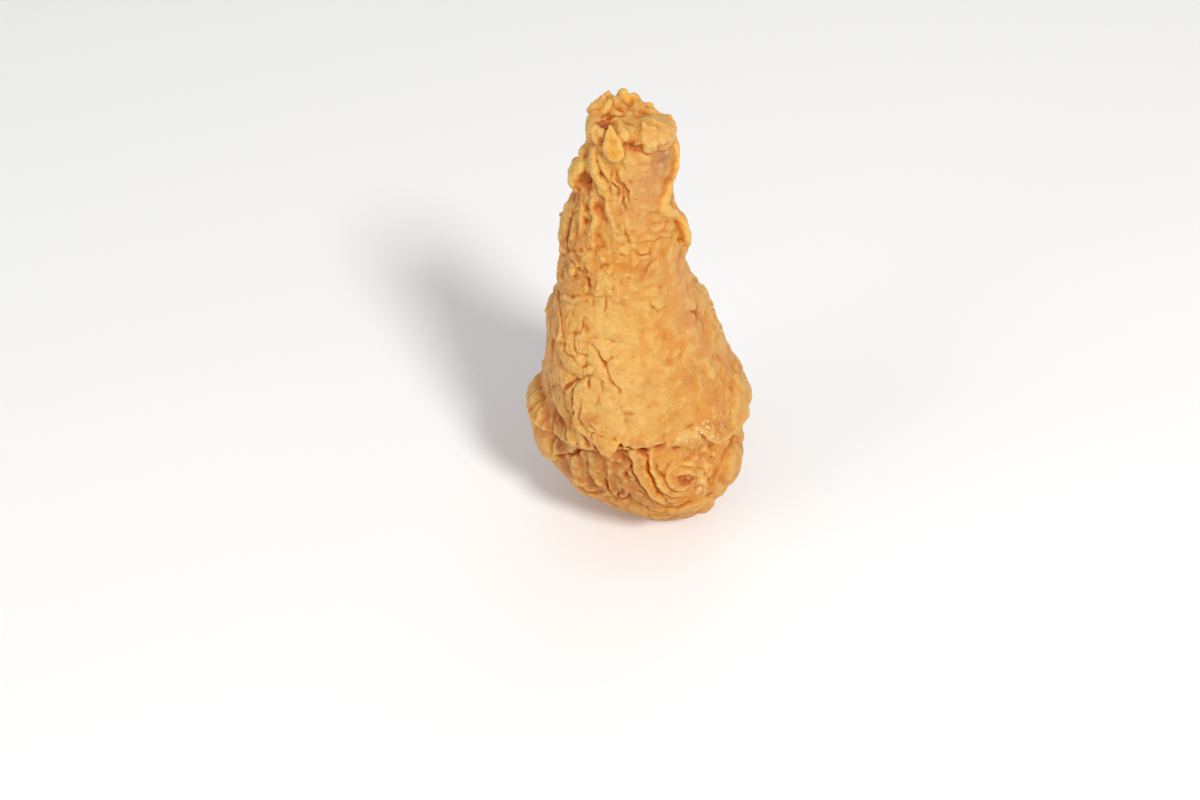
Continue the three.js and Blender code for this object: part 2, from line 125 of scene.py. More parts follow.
# Lips, where one sheet of crust ends over another. The raised side is on the left of the way
# through the places: height, how far it fades, depth of the groove at its foot, places
LIPS = [
    # The left folds
    (0.72, 3, 0.79, [
        (-26, 70), (-22, 69), (-19, 68), (-16, 67),
        (-15, 65.5), (-12, 63.5), (-8, 61.5), (-6, 59.5),
    ]),
    (0.36, 2, 0.5, [(-15, 67), (-11, 68), (-8, 69)]),
    (0.45, 2, 0.65, [(-39, 69.5), (-37, 67), (-32, 67), (-27, 67.5)]),
    (0.45, 2, 0.65, [(-50, 70), (-48, 65.5), (-44, 65), (-39, 65.5), (-36, 64.5), (-35, 63)]),
    (0.45, 2, 0.65, [(-55, 66.5), (-53, 63.5), (-49, 61), (-44, 61)]),
    (0.72, 1.4, 0.65, [
        (-21, 65.5), (-27, 65.3), (-32, 64), (-32, 62.5),
        (-31, 61), (-28, 62), (-24, 63.5), (-21, 65.5),
    ]),
    (1.08, 2.6, 1.01, [(-30, 61), (-35, 60), (-40, 58.5), (-44, 56.5), (-46, 54.5), (-47, 52)]),
    (1.08, 2.6, 1.3, [
        (-36, 59), (-39, 57), (-38, 54), (-39, 50.5),
        (-40, 47.5), (-36, 45.5), (-30, 43.5), (-26, 40),
    ]),
    (0.63, 1.8, 0.72, [(-31, 56), (-33, 53.5), (-34, 50.5), (-32, 48.5), (-27, 47)]),
    (0.54, 1.6, 0.65, [(-28, 47), (-24, 48), (-20, 47.5), (-15, 47)]),
    (0.4, 1.6, 1.5, [(-26, 47), (-25, 44), (-23, 41), (-21, 39)]),
    (0.36, 1.6, 0.5, [(-21, 63.5), (-18, 62.5), (-17, 60.5), (-17, 58.5)]),
    (0.27, 1.4, 0.79, [(-26, 62), (-26, 60.5), (-26, 59)]),
    (0.27, 1.6, 0.43, [(-20, 59.5), (-19, 58), (-20, 56)]),
    (0.36, 1.6, 0.65, [(-30, 51), (-27, 49.5), (-24, 49), (-20, 49)]),
    (0.45, 1.8, 0.5, [(-38, 75), (-40, 71), (-38, 68)]),
    (0.45, 1.8, 0.58, [(-52, 75), (-49, 70.5), (-48, 67)]),
    (0.45, 1.8, 0.58, [(-62, 72), (-57, 68), (-54, 64)]),
    (0.45, 1.8, 0.5, [(-80, 68.5), (-70, 67.5), (-62, 63.5)]),
    (0.45, 1.8, 0.5, [(-70, 60), (-62, 54), (-58, 50)]),
    (0.63, 2.2, 0.58, [(-52, 58), (-49, 53), (-47, 49), (-44, 45), (-42, 41)]),
    (0.36, 1.6, 0.43, [(-57, 57), (-53, 53), (-53, 49)]),
    # The sheet over the left lump, and the creases of the lump
    (1.1, 2.4, 1.6, [
        (-90, 43), (-80, 45.5), (-68, 46), (-61, 46.5),
        (-56, 46), (-53, 44.5), (-50, 43), (-46, 40),
    ]),
    (0.4, 1.8, 0.6, [(-74, 42.5), (-76, 40.5), (-78, 38), (-81, 33)]),
    (0.4, 1.6, 0.5, [(-73, 41), (-71, 39), (-69, 36), (-71, 31)]),
    (0.4, 1.6, 0.5, [(-66, 42), (-65, 39.5), (-63, 35)]),
    (0.5, 1.8, 0.8, [(-60, 43), (-58, 38), (-58, 34), (-57, 28)]),
    (0.3, 1.8, 0.5, [(-86, 42), (-87, 36), (-84, 29)]),
    (0.9, 2.0, 1.0, [(-47, 43), (-46, 41), (-43, 39.5), (-39, 39.5), (-35, 41)]),
    (1.6, 3.0, 1.3, [
        (-72, 31), (-61, 29.5), (-57, 28), (-54, 29.5),
        (-50, 31.5), (-43, 34), (-38, 37), (-28, 38.5),
    ]),
    # The plateau and the pocket at its corner
    (1.1, 4.0, 0.4, [
        (-26, 78), (-25, 81), (-29, 83), (-36, 82), (-48, 80.5), (-60, 78.5), (-72, 76), (-86, 72),
    ]),
    (0.5, 2.0, 0.8, [(-16, 79.5), (-15, 82.5), (-15, 85.5)]),
    (0.8, 2.0, 1.3, [(-37, 90), (-34, 86.5), (-33, 83.5)]),
    (0.7, 2.2, 0.6, [(-40, 70.5), (-35, 74), (-33, 76.5)]),
    # The neck
    (0.9, 2.4, 0.9, [(-84, 85), (-72, 88), (-60, 89.5), (-50, 89), (-41, 88), (-36, 89)]),
    (0.3, 1.6, 0.4, [(17, 106), (40, 104.5), (66, 100.5)]),
    (0.3, 1.6, 0.4, [(29, 102), (50, 101), (78, 98)]),
    (0.25, 1.4, 0.35, [(31, 100), (48, 98.5), (80, 95.5)]),
    (0.3, 1.6, 0.45, [(14, 98), (30, 97.5), (44, 97), (76, 95)]),
    (0.6, 1.6, 0.8, [(2, 102), (2, 100), (9, 98)]),
    (0.8, 1.6, 0.8, [(13, 96.5), (17, 95), (27, 94.8), (29, 95), (30, 97)]),
    (0.5, 2.0, 0.6, [(34, 93), (27, 92), (22, 89)]),
    (0.2, 1.4, 1.8, [(-69, 101), (-71, 97), (-70, 93), (-63, 89.5)]),
    (0.7, 1.3, 1.1, [(-25, 114.5), (-19, 113), (-13, 111.5), (-9, 109.5)]),
    (0.7, 1.3, 1.1, [(-12, 115), (-6, 113), (0, 110.5), (7, 108)]),
    (0.6, 1.2, 0.9, [(-20, 116.5), (-15, 114.5), (-8, 112), (-5, 110)]),
    (0.6, 1.2, 0.9, [(-6, 110.5), (-1, 108.5), (6, 106.5)]),
    (0.2, 1.2, 0.6, [(-34, 109.5), (-31, 106), (-28, 104), (-24, 102.5)]),
    (0.5, 2.0, 0.4, [(34, 120), (50, 119.5), (66, 119)]),
    (0.6, 1.6, 0.7, [(14, 126), (15, 123), (17, 120.8), (26, 120), (35, 120.5), (34, 125)]),
    (0.4, 1.2, 1.4, [(-36, 129.5), (-16, 127), (-8, 125), (-7, 123)]),
    # The right side
    (0.7, 1.8, 0.5, [(26, 83), (25, 81), (32, 79), (42, 79)]),
    (0.3, 2.0, 0.8, [(66, 74), (72, 72), (80, 70)]),
    # The hem over the rosette
    (0.7, 2.0, 2.4, [(-13, 47.5), (-10, 45.5), (-5, 45), (1, 43.5), (4, 42.5)]),
    (0.4, 1.5, 2.0, [(8, 44), (11, 44), (15, 44.5)]),
    (0.4, 1.5, 1.5, [(18, 43), (23, 42.5)]),
    (1.9, 2.6, 1.5, [
        (36, 45.5), (38, 43), (41, 41), (47, 39.5), (55, 37.5), (62, 35.5), (66, 34.5), (74, 31),
    ]),
    # The petals of the rosette, each over the next one out
    (2.2, 3.5, 0.9, [
        (-9, 44.2), (-10, 42.5), (-7, 40), (-5, 37.5), (-3, 35),
        (-1, 32.5), (3, 29.5), (9, 26.5), (14, 24.5),
    ]),
    (0.9, 1.4, 0.5, [(-5, 38), (-8, 36.5), (-8, 34), (-6, 33), (-3, 34)]),
    (1.3, 2.6, 1.0, [
        (3, 43.5), (3, 41), (3, 38.5), (5, 36.5), (7, 33.5), (9, 31), (12, 28), (15, 25.5),
    ]),
    (0.3, 1.2, 0.8, [(5, 36.5), (7, 34.5), (9, 33.5)]),
    (0.5, 1.4, 0.8, [(8, 39), (9, 37.5), (11, 36), (12, 35)]),
    (1.0, 2.0, 0.8, [(8, 33), (11, 30.5), (15, 28.5), (20, 27.5), (26, 27)]),
    (0.9, 2.2, 0.7, [
        (17, 39), (14, 37.5), (12.5, 35.5), (12, 34), (13, 32.5),
        (16, 31), (19, 30), (24, 29.5), (28, 30.5),
    ]),
    # The flake under the rosette, and the thin layers beside it
    (1.5, 5.0, 0.9, [
        (50, 9), (46, 15), (38, 21.5), (32, 24), (24, 24.5), (18, 22.5), (15, 18), (16, 14),
    ]),
    (0.8, 1.4, 1.0, [(-3, 30), (1, 29), (4, 27.5), (7, 25.5), (10, 24.5), (13, 22.5)]),
    (1.3, 3.0, 1.1, [(-20, 32.5), (-21, 29), (-21, 26), (-17, 24.5), (-13, 26), (-11, 29)]),
    (1.0, 2.0, 1.0, [(-15, 26.5), (-15, 24), (-13, 23), (-9, 25), (-8, 29)]),
    (0.3, 1.2, 1.1, [(-40, 22.3), (-36, 22.3), (-30, 22.8), (-24, 24.5)]),
    (0.8, 1.6, 1.0, [(-8, 25), (-4, 24.5), (-1, 23.5), (2, 21), (6, 19.5), (10, 18.5)]),
    (0.7, 1.6, 0.9, [(-12, 20), (-5, 18), (1, 15.5), (6, 11)]),
    (0.7, 2.0, 1.0, [
        (-60, 24), (-53, 21), (-44, 22), (-38, 21), (-32, 22), (-26, 22), (-20, 23), (-12, 22),
    ]),
]
LIP_EDGE = 0.6
GROOVE_WIDTH = 0.3
# The side under a lip swells a little too, beside the groove
LOWER_SHARE = 0.3
LOWER_FADE = 1.6
# Lips and the hem run ragged by noises that each have a height and a wavelength
FRAY = ((0.6, 7), (0.24, 2.4))

# Ribs that run down the bare skin under the hem: width, thickness, places
RIBS = [
    (2.6, 0.8, [(-42, 34), (-42, 26)]),
    (2.6, 0.8, [(-37, 36), (-37, 27)]),
    (3.0, 0.9, [(-29, 37), (-29, 29)]),
    (3.0, 0.8, [(-19, 37), (-19, 31)]),
    (2.6, 1.2, [(-44, 24.5), (-34, 24.5)]),
    (2.6, 1.5, [(-28, 29), (-25, 26.5)]),
]
# Small knobs beside the rosette: azimuth, travel
KNOBS = [(39, 39), (43, 36.5), (36, 36), (33, 33), (32, 30), (38, 31), (31, 38), (44, 40)]
KNOB_RADIUS = 1.2
KNOB_RISE = 0.6
# Pits: azimuth, travel, radius, depth
PITS = [
    (21, 33.6, 0.7, 1.1),
    (23.5, 32.2, 0.8, 1.2),
    (27, 32.2, 0.7, 1.0),
    (-12, 42.5, 1.4, 1.6),
    (-10, 39, 1.0, 1.0),
    (-8, 35, 0.9, 0.8),
    (2, 42.5, 1.2, 1.2),
    (11, 43.6, 1.0, 1.0),
    (20, 42.6, 0.9, 0.8),
    (74, 71.5, 1.6, 0.8),
    (-55, 42.5, 2.0, 1.8),
    (-31, 74, 1.5, 0.6),
    (-57, 110.5, 1.5, 1.3),
    (-54, 108.5, 1.0, 0.8),
    (-62, 127.5, 1.9, 2.0),
    (-85, 130, 1.8, 1.6),
    (3, 123.5, 2.0, 1.8),
    (10, 122, 1.4, 1.2),
    (-66, 96, 1.2, 0.9),
]

# Places fried darker, and painted shade in the pits and creases where many of them sit: azimuth,
# travel, reach, strength
STAINS_AND_PAINTED_SHADE = [
    (28, 92.5, 2.2, 0.7),
    (22, 90, 2.4, 0.7),
    (74, 71.5, 3.0, 0.9),
    (66, 73, 2.0, 0.6),
    (-10, 64, 2.0, 0.4),
    (12, 62, 2.0, 0.5),
    (30, 66, 1.8, 0.4),
    (40, 60, 3.5, 0.4),
    (22, 52, 2.0, 0.4),
    (-1, 45, 2.0, 1.0),
    (2, 43, 2.2, 1.0),
    (11, 44, 2.0, 1.0),
    (20, 43, 1.9, 1.0),
    (7, 40, 1.6, 0.6),
    (30, 41, 2.0, 0.6),
    (60, 50, 3.0, 0.4),
    (50, 42, 3.0, 0.5),
    (43, 27.5, 2.6, 0.8),
    (24, 32.5, 2.0, 1.0),
    (34, 37, 1.4, 0.7),
    (-12, 42.5, 1.9, 1.0),
    (-9.5, 38.5, 1.3, 0.9),
    (-8, 34, 1.2, 0.7),
    (-24, 43, 1.5, 0.8),
    (-14, 25, 5.0, 0.45),
    (-2, 25, 4.0, 0.55),
    (34, 16, 3.5, 0.25),
    (-32, 27, 4.5, 0.3),
    (-33, 34, 1.6, 0.7),
    (-25, 38, 1.5, 0.8),
    (-32, 22.5, 1.6, 0.9),
    (-25, 23.5, 1.6, 0.9),
    (-9, 22, 1.6, 0.9),
    (-5, 27, 1.6, 0.7),
    (-22, 42, 1.8, 1.0),
    (-30, 43, 1.6, 0.7),
    (-55, 42.5, 2.6, 1.0),
    (-24, 51, 2.0, 0.5),
    (-34, 88, 1.6, 1.0),
    (-34, 85, 1.4, 0.8),
    (-28, 105, 1.8, 1.0),
    (-60, 128, 2.2, 1.0),
    (-85, 130, 2.0, 0.8),
    (-56, 109.5, 2.2, 1.0),
    (-31, 106, 1.6, 0.8),
    (-70, 97, 1.7, 0.8),
    (-69, 93, 1.6, 0.7),
    (-46, 122, 2.0, 0.8),
    (3, 123.5, 2.0, 0.9),
    (-30, 119.5, 1.6, 0.6),
]

# Broad tints: azimuth, travel, degrees and millimetres that it spreads, strength
TINTS = {
    "pink": [
        (-74, 62, 15, 13, 0.6),
        (22, 111, 22, 7, 0.6),
        (63, 76, 14, 9, 0.45),
        (-62, 92, 9, 6, 0.4),
        (-38, 32, 10, 5, 0.3),
    ],
    "orange": [
        (44, 31, 12, 7, 0.6),
        (52, 48, 16, 9, 0.35),
        (28, 92, 14, 5, 0.3),
        (18, 40, 16, 4, 0.3),
        (-4, 27, 12, 5, 0.4),
    ],
    "yellow": [
        (-36, 68, 18, 20, 0.16),
        (-30, 122, 34, 7, 0.14),
        (0, 36, 6, 8, 0.3),
        (32, 17, 12, 4, 0.3),
    ],
}
# Soft patches: azimuth, travel, degrees and millimetres that they spread
PLATEAU = (-44, 73, 15, 4.5)
HAND_DRAWN_FOLDS = (-40, 56, 24, 14)
BARE_NECK = (22, 112, 22, 6)
BARE_LEFT = (-60, 90, 9, 5)
PURPLE_SKIN = (50, 117.5, 14, 2.4)
PURPLE_LUMP = (-58, 40, 7, 5)
# Oily places are smoother and get painted glints
OILY_HEM = (40, 44.7, 12, 2.6)
OILY_ROSETTE = (33, 33, 4, 5)
# Painted highlight: the front is paler, where the light falls most
FRONT_PAINTED_HIGHLIGHT = (-16, 64, 26, 17)
# The rosette and the left lump: azimuth and travel of the middle, reach of the zone and its edge
ROSETTE = (14, 34)
ROSETTE_REACH = 12.5
ROSETTE_FADE = 3
LEFT_LUMP = (-80, 34)
LEFT_LUMP_REACH = (12, 11)
LEFT_LUMP_EDGE = 1.15
LEFT_LUMP_FADE = 0.25
# Sides of the leg: azimuth of the middle and spread
CALM_SIDE = (34, 38)
END_FRONT = (40, 40)
STRANDS_SIDE = (-20, 40)
LEFT_AZIMUTH = -58
LEFT_FOLDS_SPREAD = 26
LEFT_WRINKLES_SPREAD = 30
# The middle of the front, and the degrees from it at which the back starts and is whole
FRONT_AZIMUTH = 5
BACK_TURNS = (80, 110)
# Azimuths from -180 to 180 between which the bare skin and the neck's grains fade in. The skin's
# own azimuths run from 0 to 360, so left of the front line only the marks have these two
BARE_LEFT_TURNS = (-62, -54)
BARE_RIGHT_TURNS = (6, -2)
GRAINS_LEFT_TURNS = (-52, -42)
GRAINS_RIGHT_TURNS = (4, -4)
# Travels over which zones of the leg start, or end where the second one is lower
ABOVE_LEFT_HEM = (36, 42)
BARE_TRAVELS = (20, 24)
NECK_TRAVELS = (80, 94)
STRANDS_TRAVELS = (84, 92)
END_TRAVELS = (112, 120)
GRAINS_FROM = (84, 87)
GRAINS_UP_TO = (100, 97)

# Straps of crust that stand off the skin: width, thickness, tilt of the section, places
STRAPS = [
    (3.1, 1.4, -8, [(-58, 119), (-55, 117), (-49, 115), (-41, 113), (-33, 111.5), (-29, 109)]),
    (1.3, 1.0, 0, [(-44, 118.5), (-36, 116), (-27, 114.5), (-19, 113)]),
    (1.5, 1.2, 0, [(-24, 111), (-21, 107.5), (-18, 105), (-12, 103), (-7, 100.5)]),
    (1.8, 1.3, 0, [(-46, 108.5), (-39, 105), (-34, 103), (-35, 100.5), (-38, 98)]),
    (1.7, 1.3, 0, [(-60, 106), (-54, 102), (-52, 99.5), (-51, 97)]),
    (4.4, 1.9, 8, [(86, 118), (87, 113), (77, 109.5)]),
    (3.0, 1.7, -8, [(72, 109.5), (57, 107.5), (49, 105), (57, 103), (74, 100.5), (88, 97)]),
    (4.4, 2.1, 10, [(87, 98), (90, 94), (84, 89.5)]),
    (4.6, 2.5, 10, [(-79, 101.5), (-85, 97), (-83, 92), (-72, 88.5)]),
    (2.2, 1.3, -8, [(-66, 100), (-63, 96), (-62, 92)]),
    (4.4, 2.0, 0, [(-86, 116), (-78, 112), (-80, 108), (-76, 105)]),
    (2.0, 0.8, 0, [(-44, 131), (-26, 129), (-14, 127.5), (-9, 126), (-8, 124.8)]),
    (1.7, 1.4, 0, [(20, 35), (23, 35.4), (26.5, 34.6), (28.5, 33.4)]),
    (1.6, 1.2, 0, [(23, 37.5), (28, 37), (31, 35.5)]),
    (5.0, 2.3, 0, [(15, 18), (21, 21.5), (33, 21), (42, 15), (47, 9)]),
    (3.6, 1.7, 0, [(120, 112), (132, 104), (128, 95)]),
    (3.8, 1.9, 10, [(178, 118), (170, 108), (184, 97)]),
    (3.6, 1.8, -8, [(-128, 116), (-122, 104), (-130, 94)]),
    (3.0, 1.6, 0, [(152, 118), (146, 110), (154, 103)]),
    (3.0, 1.6, 8, [(-160, 120), (-150, 112), (-158, 104)]),
    (3.2, 1.6, 0, [(104, 120), (110, 113), (100, 106)]),
]

# Flakes that lift off the crust: azimuth, travel, length, width, turn, tilt, how much wider above
FLAKES = [
    (-24, 122.2, 7.0, 5.0, 22, 8, -0.42),
    (-18, 45, 7.6, 6.4, 12, 6, 0.4),
    (108, 70, 6.0, 3.6, 20, 12, 0.0),
    (33, 31, 3.4, 2.4, 30, 8, 0.0),
    (31, 27.5, 3.0, 2.2, -20, 8, 0.0),
    (36, 35, 2.8, 2.0, 60, 10, 0.0),
    (-88, 68, 3.4, 2.4, 80, 14, 0.0),
    (-52, 87, 3.6, 2.0, 12, 6, 0.2),
]

# Knobs of batter on the knuckle: azimuth, travel, radius, how far they stand out for their width
KNUCKLE_KNOBS = [
    (-166, 125.5, 1.5, 1.0),
    (178, 125.5, 1.5, 1.0),
    (-112, 124, 1.4, 0.6),
    (-92, 125, 1.4, 0.5),
    (-90, 121.5, 1.3, 0.5),
    (-78, 126, 1.2, 0.5),
    (-71, 122, 1.2, 0.6),
    (-62, 124.5, 1.1, 0.7),
    (-55, 121.5, 1.1, 0.7),
    (-50, 125, 1.0, 0.7),
    (21, 129.5, 1.4, 0.4),
    (45, 129, 1.4, 0.4),
    (41, 124.5, 1.4, 0.4),
    (55, 126.5, 1.6, 0.4),
    (62, 122.5, 1.6, 0.4),
    (74, 125, 1.6, 0.4),
    (88, 126.5, 1.6, 0.4),
    (88, 122, 1.5, 0.5),
]

# Bands crowded with crumbs: how many, travels, size, azimuths, how deep they sink for their size
CRAG_BANDS = [
    (46, (118, 133), 0.8, (0, 360), 0.6),
    (30, (118, 129), 1.5, (95, 265), 0.6),
    (30, (90, 119), 1.2, (85, 280), 0.3),
    (80, (83, 98), 0.64, (-50, 4), 0.05),
    (20, (80, 92), 0.9, (-78, -44), 0.2),
    (12, (106, 110), 0.6, (-60, -36), 0.3),
    (26, (26, 42), 0.65, (28, 48), 0.2),
    (20, (24, 44), 0.5, (-2, 28), 0.3),
]
RIGHT_KNUCKLE_CRAGS = (16, (120.5, 129), 0.95, (6, 92), 0.5)
# Small flakes scattered over the back: how many, travels, azimuths, shortest and longest
SCATTERED_FLAKES = [
    (8, (100, 116), (112, 256), (3.0, 5.0)),
    (20, (40, 108), (120, 250), (3.0, 6.0)),
]

# The skin's grid, the voxels that weld everything into one crust, and the finished mesh
GRID_TURNS = 680
GRID_TRAVELS = 560
GRID_END_ROWS = 52
VOXEL = 0.32
FINAL_TRIANGLES = 190000
random = np.random.default_rng(17)


def smooth(value):
    t = np.clip(value, 0, 1)
    return t * t * (3 - 2 * t)


def grown(value, start, end):
    """0 up to the start and 1 from the end on, with a smooth way between them."""
    return smooth((value - start) / (end - start))


def bell(value, spread):
    return np.exp(-value * value / (2 * spread * spread))


def turn_between(azimuth, other):
    return (azimuth - other + 180) % 360 - 180


def toward(azimuth, middle, spread):
    """1 in the middle of one side of the leg, fading round it."""
    return bell(turn_between(azimuth, middle), spread)


def patch(azimuth, travel, place):
    """1 in the middle of a soft patch, fading round it."""
    az, at, turn_spread, travel_spread = place
    return toward(azimuth, az, turn_spread) * bell(travel - at, travel_spread)


def station(height, column):
    """One column of STATIONS at a height, by a cubic with the slope of its neighbours."""
    last = len(STATIONS) - 1
    h = np.clip(height, 0, SHOULDER_HEIGHT)
    i = np.clip(np.searchsorted(STATIONS[:, 0], h, side="right") - 1, 0, last - 1)

    def slope(k):
        a, b = np.maximum(k - 1, 0), np.minimum(k + 1, last)
        rise = STATIONS[b, column] - STATIONS[a, column]
        return rise / (STATIONS[b, 0] - STATIONS[a, 0])

    span = STATIONS[i + 1, 0] - STATIONS[i, 0]
    t = (h - STATIONS[i, 0]) / span
    t2, t3 = t * t, t * t * t
    return (
        (2 * t3 - 3 * t2 + 1) * STATIONS[i, column]
        + (t3 - 2 * t2 + t) * span * slope(i)
        + (3 * t2 - 2 * t3) * STATIONS[i + 1, column]
        + (t3 - t2) * span * slope(i + 1)
    )


def body_point(azimuth, travel):
    """A place on the smooth leg."""
    azimuth, travel = np.broadcast_arrays(np.asarray(azimuth, float), np.asarray(travel, float))
    over = np.clip((travel - SHOULDER_HEIGHT) / END_TRAVEL, 0, 1) * math.pi / 2
    drawn_in = UNDERCUT_SHARE * toward(azimuth, *UNDERCUT_SIDE)
    drawn_in = drawn_in * (1 - smooth(travel / UNDERCUT_HEIGHT))
    radius = station(travel, 1) * np.cos(over) * (1 - drawn_in)
    low = np.minimum(travel, SHOULDER_HEIGHT)
    height = low + (LEG_HEIGHT - SHOULDER_HEIGHT) * np.sin(over)
    a = np.radians(azimuth)
    x = radius * np.sin(a) - station(travel, 2)
    return np.stack([x, -radius * np.cos(a) * DEPTH_SHARE, height], -1)


def unit(vectors):
    return vectors / np.maximum(np.linalg.norm(vectors, axis=-1, keepdims=True), 1e-9)


def body_frame(azimuth, travel):
    """Unit vectors of the skin at a place: round the leg, up it, and out of it."""
    low = np.minimum(travel, SHOULDER_HEIGHT + END_TRAVEL * 0.98)
    turned = unit(body_point(azimuth + 1, low) - body_point(azimuth - 1, low))
    up = unit(body_point(azimuth, low + 0.2) - body_point(azimuth, low - 0.2))
    out = unit(np.cross(turned, up))
    return turned, np.cross(out, turned), out


def sphere_directions(count, shift=0.0):
    """Unit vectors spread evenly over the sphere."""
    i = np.arange(count)
    rise = 1 - 2 * (i + 0.5) / count
    turn = (i + shift) * math.radians(GOLDEN_ANGLE)
    reach = np.sqrt(1 - rise * rise)
    return np.stack([reach * np.cos(turn), reach * np.sin(turn), rise], -1)


WAVE_COUNT = 7


def waves(points, wavelength, seed):
    """Smooth noise about -1 to 1: plane waves in directions spread over the sphere."""
    total = 0
    for i, direction in enumerate(sphere_directions(WAVE_COUNT, 0.37 * seed)):
        along = points @ direction
        total = total + np.sin(2 * math.pi * along / wavelength + 2.4 * i * i + 1.7 * seed)
    return total / math.sqrt(WAVE_COUNT * 1.5)


def puffed(points, wavelength, seed):
    """Rounded puffs with sharp valleys between them, 0 in a valley and 1 on a puff."""
    bend = wavelength * 0.22
    shift = [waves(points, wavelength * 0.8, seed + k) for k in (11, 12, 13)]
    bent = points + bend * np.stack(shift, -1)
    return np.tanh(1.9 * np.abs(waves(bent, wavelength, seed)))


def scrambled(cells, seed):
    """A whole number from 0 to 65535 for each cell of a lattice, the same every time."""
    n = cells[..., 0] * 73856093 ^ cells[..., 1] * 19349663 ^ cells[..., 2] * 83492791
    n = (n ^ seed * 2654435761) & 0xFFFFFFFF
    n = ((n ^ n >> 15) * 2246822519) & 0xFFFFFFFF
    n = ((n ^ n >> 13) * 3266489917) & 0xFFFFFFFF
    return (n ^ n >> 16) & 0xFFFF


GRADIENT_COUNT = 64
GRADIENTS = sphere_directions(GRADIENT_COUNT)


def noise(points, wavelength, seed):
    """Gradient noise about -1 to 1."""
    q = points / (wavelength * 0.5) + 31.7
    cell = np.floor(q).astype(np.int64)
    t = q - cell
    fade = t * t * t * (t * (t * 6 - 15) + 10)
    total = 0
    for corner in itertools.product((0, 1), repeat=3):
        gradient = GRADIENTS[scrambled(cell + corner, seed) % GRADIENT_COUNT]
        weight = np.prod(np.where(corner, fade, 1 - fade), -1)
        total = total + weight * np.einsum("...i,...i", t - corner, gradient)
    return total * 1.7


def pebbled(points, size, seed):
    """Pebbles of about one size: 0 in the gaps between them, growing to about 1 inside."""
    q = points / size
    cell = np.floor(q).astype(np.int64)
    nearest = np.full(q.shape[:-1], 9.0)
    second = nearest.copy()
    for step in itertools.product((-1, 0, 1), repeat=3):
        there = cell + step
        number = scrambled(there, seed)
        jitter = np.stack([number % 61, number // 61 % 59, number // 3599 % 17], -1) / [61, 59, 17]
        away = np.linalg.norm(there + jitter - q, axis=-1)
        second = np.minimum(second, np.maximum(away, nearest))
        nearest = np.minimum(nearest, away)
    return np.clip(second - nearest, 0, 1)


def layered_noise(points, layers, seed):
    """The sum of noises that each have a height and a wavelength."""
    noises = [height * noise(points, length, seed + k) for k, (height, length) in enumerate(layers)]
    return sum(noises)


def offset(azimuth, travel, place):
    """Millimetres round the leg and up it from a place."""
    radius = station(place[1], 1)
    return np.radians(turn_between(azimuth, place[0])) * radius, travel - place[1]


def above_hem(azimuth, travel):
    return travel - (HEM_HEIGHT + HEM_RISE * toward(azimuth, *HEM_PEAK))


def back_side(azimuth):
    """0 on the front and 1 on the back."""
    return grown(np.abs(turn_between(azimuth, FRONT_AZIMUTH)), *BACK_TURNS)


def left_side(azimuth, travel, spread):
    """1 in the middle of the left side above the hem, fading round it."""
    return toward(azimuth, LEFT_AZIMUTH, spread) * grown(travel, *ABOVE_LEFT_HEM)


def large_relief(azimuth, travel):
    """How far the large forms stand out of the smooth leg: swellings, lumps and the upper sheet."""
    rise = np.zeros(np.broadcast(azimuth, travel).shape)
    for az, at, height, half_width, half_height in SWELLINGS:
        x, y = offset(azimuth, travel, (az, at))
        rise += height * bell(x, half_width) * bell(y, half_height)
    for az, at, height, half_width, half_height in LUMPS:
        x, y = offset(azimuth, travel, (az, at))
        inside = 1 - (x / half_width) ** 2 - (y / half_height) ** 2
        rise += height * np.sqrt(np.maximum(inside, 0))
    rise -= RIM_DIP * toward(azimuth, *RIM_DIP_SIDE) * grown(travel, *RIM_DIP_TRAVELS)
    above = above_hem(azimuth, travel)
    edge = HEM_EDGE + MERGED_EDGE * toward(azimuth, *MERGE_SIDE)
    rise += HEM_STEP * smooth(above / edge + 0.5) * (1 - smooth(above / HEM_FADE))
    return rise * smooth(travel / FLAT_SPOT_FADE)


def along_route(azimuth, travel, places):
    """Distance to a route, positive on its left, and the share of the route that is nearest."""
    best = np.full(azimuth.shape, 99.0)
    share = np.zeros(azimuth.shape)
    for i in range(len(places) - 1):
        x, y = offset(azimuth, travel, places[i])
        to_x, to_y = offset(*places[i + 1], places[i])
        length = math.hypot(to_x, to_y)
        part = np.clip((x * to_x + y * to_y) / length**2, 0, 1)
        away = np.hypot(x - to_x * part, y - to_y * part)
        side = np.where(to_x * y - to_y * x >= 0, 1.0, -1.0)
        nearer = away < np.abs(best)
        best = np.where(nearer, away * side, best)
        share = np.where(nearer, (i + part) / (len(places) - 1), share)
    return best, share


def near_route(azimuth, travel, places, reach):
    """Which of the points lie within reach of a route's places."""
    turns, travels = zip(*places)
    middle = (min(turns) + max(turns)) / 2
    half = (max(turns) - min(turns)) / 2 + math.degrees(reach / station(max(travels), 1))
    return (
        (np.abs(turn_between(azimuth, middle)) < half)
        & (travel > min(travels) - reach)
        & (travel < max(travels) + reach)
    )


def ends_taper(share, margin=0.02, power=0.35):
    return np.sin(math.pi * np.clip(share, margin, 1 - margin)) ** power


def lip_profile(lip, away, share):
    """Height beside a lip, rounded on both sides of the crease, and how deep in the crease."""
    height, fade, depth, _ = lip
    left, right = np.maximum(away, 0), np.maximum(-away, 0)
    raised = height * smooth(left / LIP_EDGE) * np.exp(-left / fade)
    lower = LOWER_SHARE * height * smooth(right / LIP_EDGE) * np.exp(-right / LOWER_FADE)
    crease = np.exp(-(away / GROOVE_WIDTH) ** 2)
    taper = ends_taper(share)
    return (raised + lower - depth * crease) * taper, depth * crease * taper


